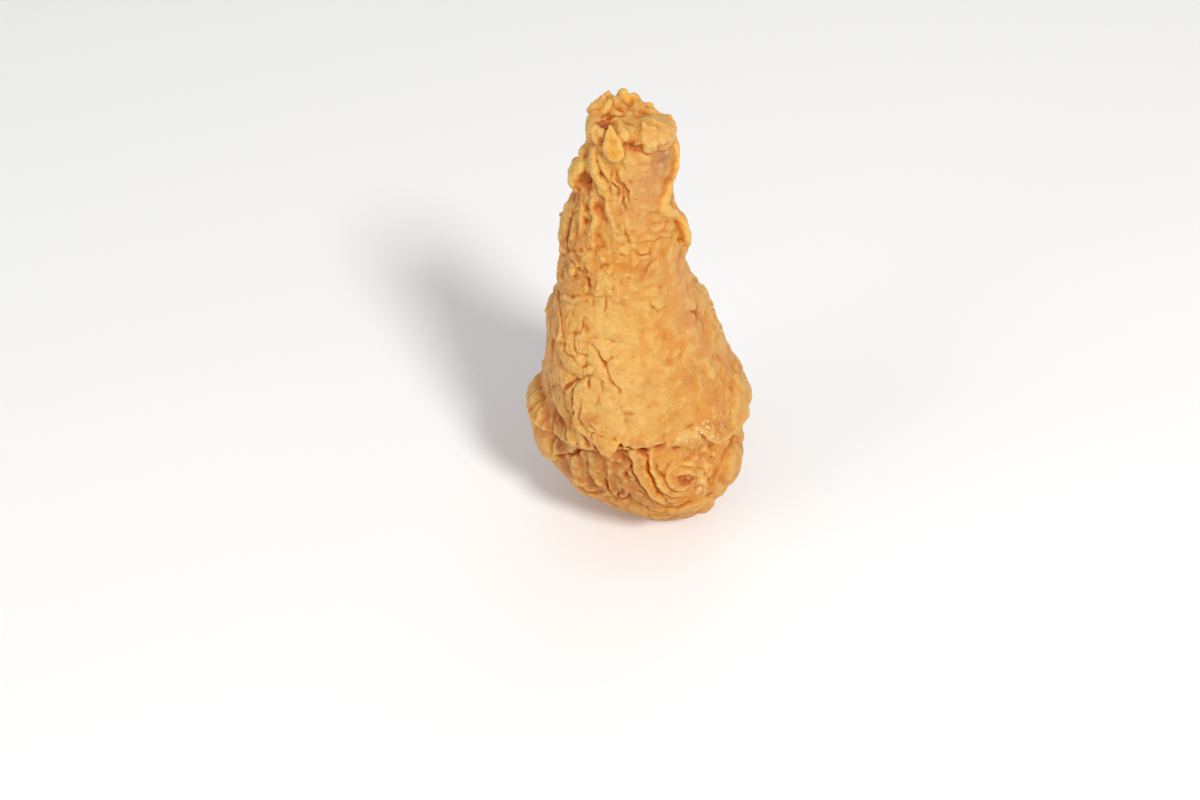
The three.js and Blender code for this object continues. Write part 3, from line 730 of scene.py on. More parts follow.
def add_lip(rise, crease, azimuth, travel, lip):
    """Raises the left side of a route and cuts a crease along it."""
    chosen = near_route(azimuth, travel, lip[3], lip[1] * 3 + 1)
    away, share = along_route(azimuth[chosen], travel[chosen], lip[3])
    height, depth = lip_profile(lip, away, share)
    rise[chosen] += height
    crease[chosen] = np.maximum(crease[chosen], depth)


def add_rib(rise, azimuth, travel, rib):
    width, thickness, places = rib
    chosen = near_route(azimuth, travel, places, width + 1)
    away, share = along_route(azimuth[chosen], travel[chosen], places)
    inside = 1 - (2 * away / width) ** 2
    rise[chosen] += thickness * np.sqrt(np.clip(inside, 0, 1)) * ends_taper(share)


def zones(azimuth, travel):
    """Shares of the neck, the knuckle's end and the calm smooth side at each place."""
    neck = grown(travel, *NECK_TRAVELS)
    end = grown(travel, *END_TRAVELS)
    on_sheet = grown(above_hem(azimuth, travel), -2, 4)
    return neck, end, toward(azimuth, *CALM_SIDE) * on_sheet * (1 - end)


def bare_zone(azimuth, travel):
    """The smooth pinkish skin that shows under the hem at the left of the rosette."""
    under = grown(-above_hem(azimuth, travel), 0.5, 2.5)
    across = grown(azimuth, *BARE_LEFT_TURNS) * grown(azimuth, *BARE_RIGHT_TURNS)
    return under * across * grown(travel, *BARE_TRAVELS)


def rosette_zone(azimuth, travel):
    x, y = offset(azimuth, travel, ROSETTE)
    return smooth((ROSETTE_REACH - np.hypot(x, y)) / ROSETTE_FADE)


def smooth_lump_zone(azimuth, travel):
    x, y = offset(azimuth, travel, LEFT_LUMP)
    reach_x, reach_y = LEFT_LUMP_REACH
    return smooth((LEFT_LUMP_EDGE - np.hypot(x / reach_x, y / reach_y)) / LEFT_LUMP_FADE)


def folded(points, wavelength, seed, sharpness=0.1):
    """Folds with narrow winding creases between them: 0 in a crease, near 1 on a fold."""
    bend = wavelength * 0.3
    shift = [noise(points, wavelength * 0.9, seed + k) for k in (1, 2, 3)]
    bent = points + bend * np.stack(shift, -1)
    return 1 - np.exp(-np.abs(noise(bent, wavelength, seed)) / sharpness)


def end_clumps(azimuth, end, points):
    """Clumps of batter on the knuckle, lower on its front, and the creases between them."""
    clumps = puffed(points, 7.5, 4)
    front = toward(azimuth, *END_FRONT)
    rise = end * (1.0 - 0.6 * front) * (clumps - 0.55)
    return rise, end * (1.0 - 0.5 * front) * (0.5 - clumps)


def neck_strands(stranded, points):
    """Strands that run down the neck, and the creases between them."""
    strands = folded(points * [1, 1, 0.35], 6.5, 43)
    return stranded * 0.9 * (strands - 0.7), stranded * 0.8 * (1 - strands)


def neck_grains(azimuth, travel, points):
    """Coarse grains of crust below the strands of the neck."""
    from_left = GRAINS_LEFT_TURNS[1] - GRAINS_LEFT_TURNS[0]
    there = smooth(turn_between(azimuth, GRAINS_LEFT_TURNS[0]) / from_left)
    there = there * grown(azimuth, *GRAINS_RIGHT_TURNS)
    there = there * grown(travel, *GRAINS_FROM) * grown(travel, *GRAINS_UP_TO)
    return 0.8 * there * (pebbled(points, 1.5, 68) - 0.35)


def small_relief(azimuth, travel, points):
    """How far the small forms stand out, and how deep the creases between the folds are."""
    neck, end, calm = zones(azimuth, travel)
    kept = bare_zone(azimuth, travel) + rosette_zone(azimuth, travel)
    plateau = patch(azimuth, travel, PLATEAU)
    kept = np.clip(kept + 0.85 * smooth_lump_zone(azimuth, travel) + 0.8 * plateau, 0, 1)
    quiet = np.clip(calm + kept, 0, 1)
    back = back_side(azimuth)
    left = left_side(azimuth, travel, LEFT_FOLDS_SPREAD)
    wild = np.clip(left + back, 0, 1) * (1 - end) * (1 - kept)
    rise = 1.2 * (1 - neck) * (1 - 0.85 * quiet) * (puffed(points, 17, 1) - 0.6)
    # Wild folds on the left and the back, and lower ones where the folds are drawn one by one
    folds = folded(points * [1, 1, 0.5], 12, 31)
    wrinkles = folded(points, 6.5, 35)
    drawn = patch(azimuth, travel, HAND_DRAWN_FOLDS)
    tall = (0.62 + 0.65 * back) * (1 - 0.5 * drawn)
    rise += wild * tall * (folds - 0.7 + 0.4 * (wrinkles - 0.7))
    crease = wild * (1 - 0.4 * drawn) * np.maximum(0.7 * (1 - folds), 0.5 * (1 - wrinkles))
    # Softer folds, puffs and bumps on the rest
    soft = (1 - wild) * (1 - end) * (1 - 0.8 * kept)
    puffs = puffed(points, 12, 5)
    rise += soft * (0.2 * (folds - 0.7) + 0.12 * (wrinkles - 0.7) + 0.3 * (puffs - 0.6))
    bumps = smooth(noise(points, 9, 66) * 3 - 0.4) * soft
    rise += 0.22 * bumps * (pebbled(points, 2.0, 67) - 0.3)
    stranded = neck * (1 - end) * (1 - 0.8 * calm)
    for height, depth in (end_clumps(azimuth, end, points), neck_strands(stranded, points)):
        rise += height
        crease = np.maximum(crease, depth)
    rise += neck_grains(azimuth, travel, points)
    crumbs = smooth(noise(points, 24, 60) * 2 - 0.1) * (1 - 0.9 * quiet)
    rise += 0.15 * crumbs * (pebbled(points, 2.3, 61) - 0.35)
    rise += (0.09 + 0.08 * end) * noise(points, 3.0, 62)
    rise += 0.25 * noise(points, 8.0, 64)
    return rise, crease


def spot(azimuth, travel, place, reach):
    """1 in the middle of a round spot, fading round it."""
    x, y = offset(azimuth, travel, place)
    return np.exp(-(x * x + y * y) / reach**2)


def crust_relief(azimuth, travel):
    """All the relief at each place, and the depth of the creases."""
    points = body_point(azimuth, travel)
    radius = np.maximum(station(travel, 1), 1)
    frayed_az = azimuth + np.degrees(layered_noise(points, FRAY, 21) / radius)
    frayed_tr = travel + layered_noise(points, FRAY, 23)
    rise, crease = small_relief(azimuth, travel, points)
    wander = HEM_WANDER * noise(points, HEM_WANDER_LENGTH, 27) * back_side(azimuth)
    wander = wander * (1 - grown(travel, *HEM_WANDER_TRAVELS))
    rise += large_relief(frayed_az, frayed_tr + wander)
    for lip in LIPS + WANDERING_LIPS:
        add_lip(rise, crease, frayed_az, frayed_tr, lip)
    for rib in RIBS:
        add_rib(rise, frayed_az, frayed_tr, rib)
    for knob in KNOBS:
        x, y = offset(frayed_az, frayed_tr, knob)
        rise += KNOB_RISE * np.sqrt(np.clip(1 - (x * x + y * y) / KNOB_RADIUS**2, 0, 1))
    for az, at, reach, depth in PITS:
        pit = depth * spot(frayed_az, frayed_tr, (az, at), reach)
        rise -= pit
        crease = np.maximum(crease, pit)
    return rise * smooth(travel / FLAT_SPOT_FADE), crease


WANDER_STEP = 3.6
WANDER_TRAVELS = (8, 118)
# The least and the most height, fade and depth of a lip that wanders
WANDERING_LIMITS = ((0.5, 1.2), (1.8, 3.0), (0.4, 1.0))


def wandering_lips(count, azimuths, travels):
    """Lips that wander over the sides that the front doesn't show."""
    lips = []
    for _ in range(count):
        az = random.uniform(*azimuths)
        at = random.uniform(*travels)
        heading = random.uniform(0, 2 * math.pi)
        places = []
        for _ in range(random.integers(4, 7)):
            places.append((az, at))
            turn = math.degrees(WANDER_STEP * math.cos(heading) / station(at, 1))
            az = float(np.clip(az + turn, *azimuths))
            at = float(np.clip(at + WANDER_STEP * math.sin(heading), *WANDER_TRAVELS))
            heading += random.uniform(-0.7, 0.7)
        height, fade, depth = [random.uniform(*limits) for limits in WANDERING_LIMITS]
        lips.append((height, fade, depth, places))
    return lips


WANDERING_LIPS = wandering_lips(46, (96, 262), (12, 108)) + wandering_lips(6, (-88, -46), (50, 100))


def raised_points(azimuth, travel, rise):
    """Places on the skin raised by some relief, never under the flat spot."""
    _, _, out = body_frame(azimuth, travel)
    points = body_point(azimuth, travel) + out * np.asarray(rise)[..., None]
    points[..., 2] = np.maximum(points[..., 2], 0)
    return points


def closed_rings(rings, first, last):
    """Vertices and faces of rings with equal counts, closed at both ends by a middle point."""
    rings = np.asarray(rings)
    n_rings, count = rings.shape[:2]
    vertices = np.concatenate([[first], rings.reshape(-1, 3), [last]])
    k = np.arange(count)
    after = (k + 1) % count
    faces = [np.stack([np.zeros(count, int), 1 + after, 1 + k], -1)]
    for ring in range(n_rings - 1):
        a, b = 1 + ring * count, 1 + (ring + 1) * count
        faces.append(np.stack([a + k, a + after, b + after], -1))
        faces.append(np.stack([a + k, b + after, b + k], -1))
    a = 1 + (n_rings - 1) * count
    faces.append(np.stack([np.full(count, len(vertices) - 1), a + k, a + after], -1))
    return vertices, np.concatenate(faces)


def skin():
    """The fine skin of the whole leg, from its flat spot to the top of the knuckle."""
    wall = np.linspace(0, SHOULDER_HEIGHT, GRID_TRAVELS)
    end = np.linspace(SHOULDER_HEIGHT, SHOULDER_HEIGHT + END_TRAVEL, GRID_END_ROWS)[1:-1]
    azimuths = np.arange(GRID_TURNS) * 360 / GRID_TURNS
    azimuth, travel = np.meshgrid(azimuths, np.concatenate([wall, end]))
    rise, _ = crust_relief(azimuth, travel)
    points = raised_points(azimuth, travel, rise)
    # The sheet sags a little over its hem
    hem = above_hem(azimuth, travel)
    sag = HEM_SAG * (1 - toward(azimuth, *MERGE_SIDE)) * smooth(travel / 20)
    sag = sag * smooth(hem / 0.8 + 0.2) * (1 - grown(hem, 0.5, 4.5))
    _, up, _ = body_frame(azimuth, travel)
    points -= up * sag[..., None]
    top = body_point(0, SHOULDER_HEIGHT + END_TRAVEL)
    return closed_rings(points, np.zeros(3), top)


def route_points(places, step):
    """Azimuths and travels along a smooth curve through some places, a step apart."""
    places = np.array(places, float)
    ends = np.concatenate([[2 * places[0] - places[1]], places, [2 * places[-1] - places[-2]]])
    chosen = []
    for i in range(1, len(ends) - 2):
        before, a, b, after = ends[i - 1 : i + 3]
        x, y = offset(b[0], b[1], a)
        count = max(2, int(math.hypot(x, y) / step))
        t = (np.arange(count) / count)[:, None]
        chosen.append(
            0.5 * (
                2 * a
                + (b - before) * t
                + (2 * before - 5 * a + 4 * b - after) * t**2
                + (3 * a - before - 3 * b + after) * t**3
            )
        )
    return np.concatenate(chosen + [places[-1:]])


STRAP_SIDES = 18
STRAP_STEP = 0.5
STRAP_END = 0.4
STRAP_RUFFLE = ((0.26, 3.4), (0.08, 1.6))


def rounded_square(wave):
    """A sine or cosine bent so that the circle that it draws becomes a rounded square."""
    return np.sign(wave) * np.abs(wave) ** 0.7


def strap(width, thickness, tilt, places, seed):
    """A ribbon of crust that lies on the skin along its places, with ruffled edges."""
    route = route_points(places, STRAP_STEP)
    azimuth, travel = route[:, 0], route[:, 1]
    middles = raised_points(azimuth, travel, large_relief(azimuth, travel) + 0.2)
    along = unit(np.gradient(middles, axis=0))
    _, _, out = body_frame(azimuth, travel)
    side = unit(np.cross(along, out))
    out = np.cross(side, along)
    size = 0.4 + 0.6 * ends_taper(np.linspace(0, 1, len(route)), 0.03, 0.5)
    middles = middles + side * (0.35 * width * noise(middles, 6, seed + 5))[:, None] * 0.5
    angle = np.arange(STRAP_SIDES) * 2 * math.pi / STRAP_SIDES
    across = rounded_square(np.sin(angle)) * width / 2
    domed = rounded_square(np.cos(angle))

    def ragged_edge(seed):
        return 1 + 0.3 * noise(middles, 4.5, seed) + 0.12 * noise(middles, 2.0, seed + 3)

    edge = np.where(across > 0, ragged_edge(seed)[:, None], ragged_edge(seed + 1)[:, None])
    tall = size * (1 + 0.2 * noise(middles, 3.6, seed + 6))
    across = across[None, :] * (edge * size[:, None])
    lift = domed[None, :] * thickness * 0.66 * tall[:, None]
    lift = lift + across * math.tan(math.radians(tilt))
    rings = middles[:, None] + side[:, None] * across[..., None] + out[:, None] * lift[..., None]
    rings = rings + out[:, None] * layered_noise(rings, STRAP_RUFFLE, seed + 1)[..., None]
    first = middles[0] - along[0] * STRAP_END
    last = middles[-1] + along[-1] * STRAP_END
    return closed_rings(rings[:, ::-1], first, last)


FLAKE_POINTS = 30
FLAKE_SHARES = (0.3, 0.6, 0.85, 1.0)
FLAKE_OUTLINE = ((0.1, 2.2), (0.09, 0.9))
FLAKE_WAVES = ((0.5, 5.0), (0.25, 2.2))
# How much the upper end of a flake bends in, for each square millimetre of its reach
BEND = 0.05


def flake(azimuth, travel, length, width, turn, tilt, taper, seed, thickness=1.2):
    """A thin wavy plate with a ragged outline, held to the crust by its upper end."""
    turned, up, out = body_frame(azimuth, travel)
    middle = raised_points(azimuth, travel, large_relief(azimuth, travel) + thickness * 0.55)
    angle = np.arange(FLAKE_POINTS) * 2 * math.pi / FLAKE_POINTS
    cosine, sine = np.cos(angle), np.sin(angle)
    circle = np.stack([cosine, sine, np.zeros(FLAKE_POINTS)], -1) * 2.0
    ragged = 1 + layered_noise(circle, FLAKE_OUTLINE, seed)
    stem = 1 - 0.6 * taper * np.maximum(sine, 0) ** 4
    slope = math.tan(math.radians(tilt))
    cos, sin = math.cos(math.radians(turn)), math.sin(math.radians(turn))

    def layer(share, side):
        aside = cosine * (1 + taper * sine) * width * ragged * share / 2
        rising = sine * stem * length * ragged * share / 2
        flat = np.stack([aside, rising, np.full(FLAKE_POINTS, seed * 3.1)], -1)
        lift = layered_noise(flat, FLAKE_WAVES, seed + 2)
        lift = lift - rising * slope - BEND * np.maximum(rising, 0) ** 2
        lift = lift + side * thickness * (0.42 - 0.2 * share**2)
        return (
            middle
            + turned * (aside * cos - rising * sin)[:, None]
            + up * (aside * sin + rising * cos)[:, None]
            + out * lift[:, None]
        )

    under = [layer(share, -1) for share in FLAKE_SHARES]
    over = [layer(share, 1) for share in reversed(FLAKE_SHARES)]
    return closed_rings(under + over, under[0].mean(0), over[-1].mean(0))


BLOB_RINGS = 9
BLOB_SIDES = 14
BLOB_DENTS = ((0.22, 1.6), (0.1, 0.7))


def blob(middle, axes, seed):
    """A lumpy crumb: a sphere stretched along three axes and dented by noise."""
    tall = np.arange(1, BLOB_RINGS + 1) * math.pi / (BLOB_RINGS + 1)
    turn = np.arange(BLOB_SIDES) * 2 * math.pi / BLOB_SIDES
    tall, turn = np.meshgrid(tall, turn, indexing="ij")
    ball = np.stack([np.sin(tall) * np.cos(turn), np.sin(tall) * np.sin(turn), -np.cos(tall)], -1)
    ball = ball * (1 + layered_noise(ball + seed, BLOB_DENTS, 5))[..., None]
    pole = np.array([0, 0, 1.0]) @ axes
    return closed_rings(middle + ball @ axes, middle - pole, middle + pole)


# A crag's size across, up and out of the crust, for its own size, and how much both vary
CRAG_SHAPE = (1, 1.2, 0.7)
CRAG_SIZES = (0.6, 1.3)
CRAG_SLANT = 0.25


def crags(count, travels, size, azimuths, sunk):
    """Crumbs of batter that crowd a band of the crust, each at its own slant."""
    azimuth = random.uniform(*azimuths, count)
    travel = random.uniform(*travels, count)
    axes = np.stack(body_frame(azimuth, travel), 1)
    rise, _ = crust_relief(azimuth, travel)
    depth = size * random.uniform(-0.1, 2 * sunk + 0.1, count)
    middles = raised_points(azimuth, travel, rise - depth)
    made = []
    for index in range(count):
        slant = random.normal(0, CRAG_SLANT, (3, 3))
        sizes = size * random.uniform(*CRAG_SIZES, 3) * CRAG_SHAPE
        made.append(blob(middles[index], unit(axes[index] + slant) * sizes[:, None], index + 7.5))
    return made


def scattered_flakes(count, travels, azimuths, sizes):
    """Small flakes at places, turns and tilts of their own."""
    made = []
    for index in range(count):
        length = random.uniform(*sizes)
        azimuth = random.uniform(*azimuths)
        travel = random.uniform(*travels)
        width = length * random.uniform(0.5, 0.85)
        turn = random.uniform(-70, 70)
        tilt = random.uniform(4, 18)
        seed = 100 + index * 5
        made.append(flake(azimuth, travel, length, width, turn, tilt, 0.0, seed, thickness=1.0))
    return made


def joined(shapes):
    vertices, faces, start = [], [], 0
    for shape_vertices, shape_faces in shapes:
        vertices.append(shape_vertices)
        faces.append(shape_faces + start)
        start += len(shape_vertices)
    return np.concatenate(vertices), np.concatenate(faces)


def mesh_object(name, vertices, faces):
    """A Blender object from vertices in millimetres."""
    mesh = bpy.data.meshes.new(name)
    mesh.from_pydata((vertices * MM).tolist(), [], faces.tolist())
    made = bpy.data.objects.new(name, mesh)
    bpy.context.scene.collection.objects.link(made)
    return made


def read(items, name, width, kind=float):
    """One attribute of every item of a mesh, as rows of a width."""
    flat = np.empty(len(items) * width, kind)
    items.foreach_get(name, flat)
    return flat.reshape(-1, width)


def coordinates(mesh):
    return read(mesh.vertices, "co", 3) / MM


def set_coordinates(mesh, points):
    mesh.vertices.foreach_set("co", (points * MM).ravel())
    mesh.update()


def vertex_normals(mesh):
    return read(mesh.vertex_normals, "vector", 3)


def apply_modifier(piece, kind, **settings):
    modifier = piece.modifiers.new(kind.lower(), kind)
    for key, value in settings.items():
        setattr(modifier, key, value)
    depsgraph = bpy.context.evaluated_depsgraph_get()
    mesh = bpy.data.meshes.new_from_object(piece.evaluated_get(depsgraph))
    piece.modifiers.clear()
    old = piece.data
    piece.data = mesh
    bpy.data.meshes.remove(old)


PLACE_ROUNDS = 5


def place_of(points):
    """Azimuth and travel of the skin under points near it, found by stepping over the skin."""
    x = points[:, 0] + station(points[:, 2], 2)
    azimuth = np.degrees(np.arctan2(x, -points[:, 1] / DEPTH_SHARE))
    travel = np.clip(points[:, 2], 0, SHOULDER_HEIGHT)
    for _ in range(PLACE_ROUNDS):
        turned, up, _ = body_frame(azimuth, travel)
        gap = points - body_point(azimuth, travel)
        across = body_point(azimuth + 1, travel) - body_point(azimuth - 1, travel)
        along = body_point(azimuth, travel + 0.2) - body_point(azimuth, travel - 0.2)
        # Millimetres for a degree and for a millimetre of travel
        across = np.maximum(np.linalg.norm(across, axis=1) / 2, 0.03)
        along = np.maximum(np.linalg.norm(along, axis=1) / 0.4, 0.3)
        azimuth = azimuth + np.clip(np.einsum("ij,ij->i", gap, turned) / across, -20, 20)
        travel = travel + np.clip(np.einsum("ij,ij->i", gap, up) / along, -3, 3)
        travel = np.clip(travel, 0, SHOULDER_HEIGHT + END_TRAVEL)
    return azimuth, travel


class Neighbours:
    """Averages a value over each vertex's neighbours in a mesh."""

    def __init__(self, mesh):
        pairs = read(mesh.edges, "vertices", 2, np.int64)
        self.a = np.concatenate([pairs[:, 0], pairs[:, 1]])
        self.b = np.concatenate([pairs[:, 1], pairs[:, 0]])
        self.count = np.maximum(np.bincount(self.a, minlength=len(mesh.vertices)), 1)

    def average(self, values, rounds=1):
        values = np.asarray(values, float)
        if values.ndim == 2:
            return np.stack([self.average(column, rounds) for column in values.T], -1)
        for _ in range(rounds):
            total = np.bincount(self.a, values[self.b], len(self.count))
            values = 0.5 * values + 0.5 * total / self.count
        return values


def store(mesh, name, values):
    attribute = mesh.attributes.new(name, "FLOAT", "POINT")
    attribute.data.foreach_set("value", np.asarray(values, np.float32))


OCCLUSION_RAYS = 30
OCCLUSION_REACH = 6.0
OCCLUSION_START = 0.08
# Rays that leave the surface more flatly than this share of upright aren't cast
FLATTEST_RAY = 0.2


def occlusion(mesh, points, normals):
    """How much of the sky over each vertex the crust itself hides, near by."""
    mesh.calc_loop_triangles()
    corners = read(mesh.loop_triangles, "vertices", 3, np.int64)
    tree = BVHTree.FromPolygons(points.tolist(), corners.tolist(), all_triangles=True)
    directions = sphere_directions(OCCLUSION_RAYS)
    facing = normals @ directions.T
    starts = points + normals * OCCLUSION_START
    hidden = np.zeros(len(points))
    for k, direction in enumerate(directions.tolist()):
        chosen = np.flatnonzero(facing[:, k] > FLATTEST_RAY)
        weights = facing[chosen, k]
        for index, start, weight in zip(chosen.tolist(), starts[chosen].tolist(), weights.tolist()):
            distance = tree.ray_cast(start, direction, OCCLUSION_REACH)[3]
            if distance is not None:
                hidden[index] += weight * (1 - distance / OCCLUSION_REACH)
    total = np.where(facing > FLATTEST_RAY, facing, 0).sum(1)
    return hidden / np.maximum(total, 0.1)


def knuckle_knob(azimuth, travel, radius, stand):
    """A knob of batter that stands out of the knuckle."""
    turned, up, out = body_frame(azimuth, travel)
    rise = large_relief(azimuth, travel) + radius * (stand - 0.7)
    axes = np.stack([turned, up * 1.15, out * stand]) * radius
    return blob(raised_points(azimuth, travel, rise), axes, azimuth * 0.7)


def make_crust():
    """The whole crust in one skin: skin, straps, flakes and crags welded by voxels."""
    shapes = [skin()]
    shapes += [strap(*values, seed=200 + 3 * index) for index, values in enumerate(STRAPS)]
    shapes += [flake(*values, seed=20 + 7 * index) for index, values in enumerate(FLAKES)]
    for band in CRAG_BANDS:
        shapes += crags(*band)
    for band in SCATTERED_FLAKES:
        shapes += scattered_flakes(*band)
    shapes += crags(*RIGHT_KNUCKLE_CRAGS)
    shapes += [knuckle_knob(*values) for values in KNUCKLE_KNOBS]
    vertices, faces = joined(shapes)
    vertices[:, 2] = np.maximum(vertices[:, 2], 0)
    crust = mesh_object("fried_crust", vertices, faces)
    apply_modifier(crust, "REMESH", mode="VOXEL", voxel_size=VOXEL * MM, use_smooth_shade=True)
    return crust


# Vertices lower than this lie on the flat spot
FLAT_SPOT_HEIGHT = 0.25
GRAIN = ((0.07, 1.6), (0.04, 0.9))


def roughen(mesh):
    """Smooths the voxels' steps away and gives the skin its finest grain, out of the surface."""
    points = Neighbours(mesh).average(coordinates(mesh))
    azimuth, travel = place_of(points)
    _, _, calm = zones(azimuth, travel)
    grain = layered_noise(points, GRAIN, 71)
    grain += 0.1 * (pebbled(points, 1.3, 73) - 0.35) * smooth(noise(points, 12, 74) + 0.5)
    set_coordinates(mesh, points)
    points = points + vertex_normals(mesh) * (grain * (1 - 0.4 * calm))[:, None]
    points[:, 2] = np.where(points[:, 2] < FLAT_SPOT_HEIGHT, 0, points[:, 2])
    set_coordinates(mesh, points)


def thin_out(piece):
    """Brings a piece down to the number of triangles that the finished crust has."""
    triangles = sum(len(p.vertices) - 2 for p in piece.data.polygons)
    if triangles > FINAL_TRIANGLES:
        apply_modifier(piece, "DECIMATE", ratio=FINAL_TRIANGLES / triangles)


def tinted(azimuth, travel, patches):
    """How strongly a set of broad patches tints each place."""
    total = np.zeros(azimuth.shape)
    for *place, strength in patches:
        total = np.maximum(total, strength * patch(azimuth, travel, place))
    return total


def stained_and_shaded(azimuth, travel):
    """How dark each place is fried, with painted shade where the spots sit in pits and creases."""
    total = np.zeros(azimuth.shape)
    for az, at, reach, strength in STAINS_AND_PAINTED_SHADE:
        total = np.maximum(total, strength * spot(azimuth, travel, (az, at), reach))
    return total


def shape_marks(mesh, near, azimuth, travel):
    """Marks made by the surface's own shape: small and broad humps, creases and hidden places, by
    which the material paints highlights and shade.
    """
    points, normals = coordinates(mesh), vertex_normals(mesh)
    soft = near.average(points, 5)
    softer = near.average(soft, 30)
    fine = np.einsum("ij,ij->i", points - soft, normals)
    broad = np.einsum("ij,ij->i", soft - softer, near.average(normals, 6))
    relief, crease = crust_relief(azimuth, travel)
    _, _, out = body_frame(azimuth, travel)
    proud = np.einsum("ij,ij->i", points - body_point(azimuth, travel), out) - relief
    over = smooth((proud - 0.35 - 0.6 * crease) / 0.5)
    _, end, _ = zones(azimuth, travel)
    hidden = near.average(occlusion(mesh, points, normals), 2)
    return {
        "fine": near.average(fine, 1),
        "broad": near.average(broad, 2),
        "over": near.average(over, 1),
        "crease": crease * (1 - over),
        "hidden": hidden * (1 - 0.45 * end),
    }, over


def place_marks(azimuth, travel, over):
    """Marks made by the place on the leg: folds, bare and purplish skin, oil, tints, stains with
    painted shade in pits and creases, and a painted highlight on the front.
    """
    _, end, _ = zones(azimuth, travel)
    strands = toward(azimuth, *STRANDS_SIDE) * grown(travel, *STRANDS_TRAVELS)
    left = left_side(azimuth, travel, LEFT_WRINKLES_SPREAD)
    wild = 0.25 + left + back_side(azimuth) + strands + rosette_zone(azimuth, travel)
    bare = bare_zone(azimuth, travel) + 0.175 * patch(azimuth, travel, BARE_NECK)
    bare = bare + 0.7 * patch(azimuth, travel, BARE_LEFT)
    purple = patch(azimuth, travel, PURPLE_SKIN) + 0.8 * patch(azimuth, travel, PURPLE_LUMP)
    oily = [patch(azimuth, travel, place) for place in (OILY_HEM, OILY_ROSETTE)]
    marks = {
        "wild": np.clip(wild, 0, 1) * (1 - 0.7 * end),
        "bare": np.clip(bare, 0, 1) * (1 - over),
        "purple": purple * (1 - over),
        "oily": np.maximum(*oily),
        "foot": grown(travel, 42, 8),
        "stain_and_painted_shade": stained_and_shaded(azimuth, travel),
        "painted_front_highlight": patch(azimuth, travel, FRONT_PAINTED_HIGHLIGHT),
    }
    for name, patches in TINTS.items():
        marks[name] = tinted(azimuth, travel, patches)
    return marks


def store_marks(mesh):
    """Stores what the material needs at each vertex."""
    azimuth, travel = place_of(coordinates(mesh))
    by_shape, over = shape_marks(mesh, Neighbours(mesh), azimuth, travel)
    by_place = place_marks(azimuth, travel, over)
    for name, values in (by_shape | by_place).items():
        store(mesh, name, values)


class Nodes:
    """Short ways to build a material's node tree."""

    def __init__(self, name):
        self.material = bpy.data.materials.new(name)
        self.material.use_nodes = True
        self.tree = self.material.node_tree
        self.shader = self.tree.nodes["Principled BSDF"]

    def new(self, kind, **settings):
        node = self.tree.nodes.new(kind)
        for key, value in settings.items():
            setattr(node, key, value)
        return node

    def feed(self, socket, value):
        if isinstance(value, bpy.types.NodeSocket):
            self.tree.links.new(value, socket)
        else:
            socket.default_value = value

    def attribute(self, name):
        return self.new("ShaderNodeAttribute", attribute_name=name).outputs["Fac"]

    def math(self, operation, a, b=0.0):
        node = self.new("ShaderNodeMath", operation=operation)
        self.feed(node.inputs[0], a)
        self.feed(node.inputs[1], b)
        return node.outputs[0]

    def ramp(self, value, low, high, start=0.0, end=1.0):
        node = self.new("ShaderNodeMapRange", interpolation_type="SMOOTHSTEP")
        for socket, entry in zip(node.inputs, (value, low, high, start, end)):
            self.feed(socket, entry)
        return node.outputs[0]

    def mix(self, share, a, b, blend="MIX"):
        node = self.new("ShaderNodeMix", data_type="RGBA", blend_type=blend)
        self.feed(node.inputs[0], share)
        self.feed(node.inputs[6], a)
        self.feed(node.inputs[7], b)
        return node.outputs[2]

    def layered(self, color, layers, blend="MIX"):
        """Lays colours over a colour one by one, each by its share."""
        for share, layer in layers:
            color = self.mix(share, color, layer, blend)
        return color

    def times(self, a, b):
        return self.math("MULTIPLY", a, b)

    def noise(self, size, detail=4.0, distortion=0.0, seed=0.0):
        """Noise with features of a size in millimetres."""
        place = self.new("ShaderNodeTexCoord").outputs["Object"]
        shifted = self.new("ShaderNodeVectorMath", operation="ADD")
        self.feed(shifted.inputs[0], place)
        self.feed(shifted.inputs[1], (seed * 0.37, seed * 0.91, seed * 0.53))
        node = self.new("ShaderNodeTexNoise")
        self.feed(node.inputs["Vector"], shifted.outputs[0])
        self.feed(node.inputs["Scale"], 1 / (size * MM))
        self.feed(node.inputs["Detail"], detail)
        self.feed(node.inputs["Distortion"], distortion)
        return node.outputs["Fac"]


def linear(red, green, blue):
    """A colour from its 0 to 255 screen values."""
    def one(value):
        v = value / 255
        return v / 12.92 if v <= 0.04045 else ((v + 0.055) / 1.055) ** 2.4
    return (one(red), one(green), one(blue), 1.0)


GOLD = linear(205, 151, 72)
PALE = linear(217, 177, 105)
AMBER = linear(203, 128, 44)
RUST = linear(172, 70, 2)
BROWN = linear(178, 84, 6)
DEEP = linear(136, 38, 0)
YELLOW = linear(230, 166, 48)
BARE = linear(176, 108, 50)
GLINT = linear(255, 240, 214)
PURPLE = linear(150, 88, 62)
PINK = linear(206, 150, 98)
ORANGE = linear(214, 132, 40)
FLOOR = linear(240, 240, 240)
# Painted shade, which the foot and the hidden places are multiplied by
FOOT_SHADE = (0.84, 0.67, 0.4, 1.0)
SHADE = (0.9, 0.56, 0.02, 1.0)
# What is the same all over the crust
CRUST_SHADER = {
    "Subsurface Weight": 0.22,
    "Subsurface Radius": (1.0, 0.42, 0.16),
    "Subsurface Scale": 1.6 * MM,
    "Specular IOR Level": 0.28,
    "Specular Tint": (1.0, 0.84, 0.62, 1.0),
}
BUMP_STRENGTH = 0.7
BUMP_HEIGHT = 0.4
FLOOR_ROUGHNESS = 0.7


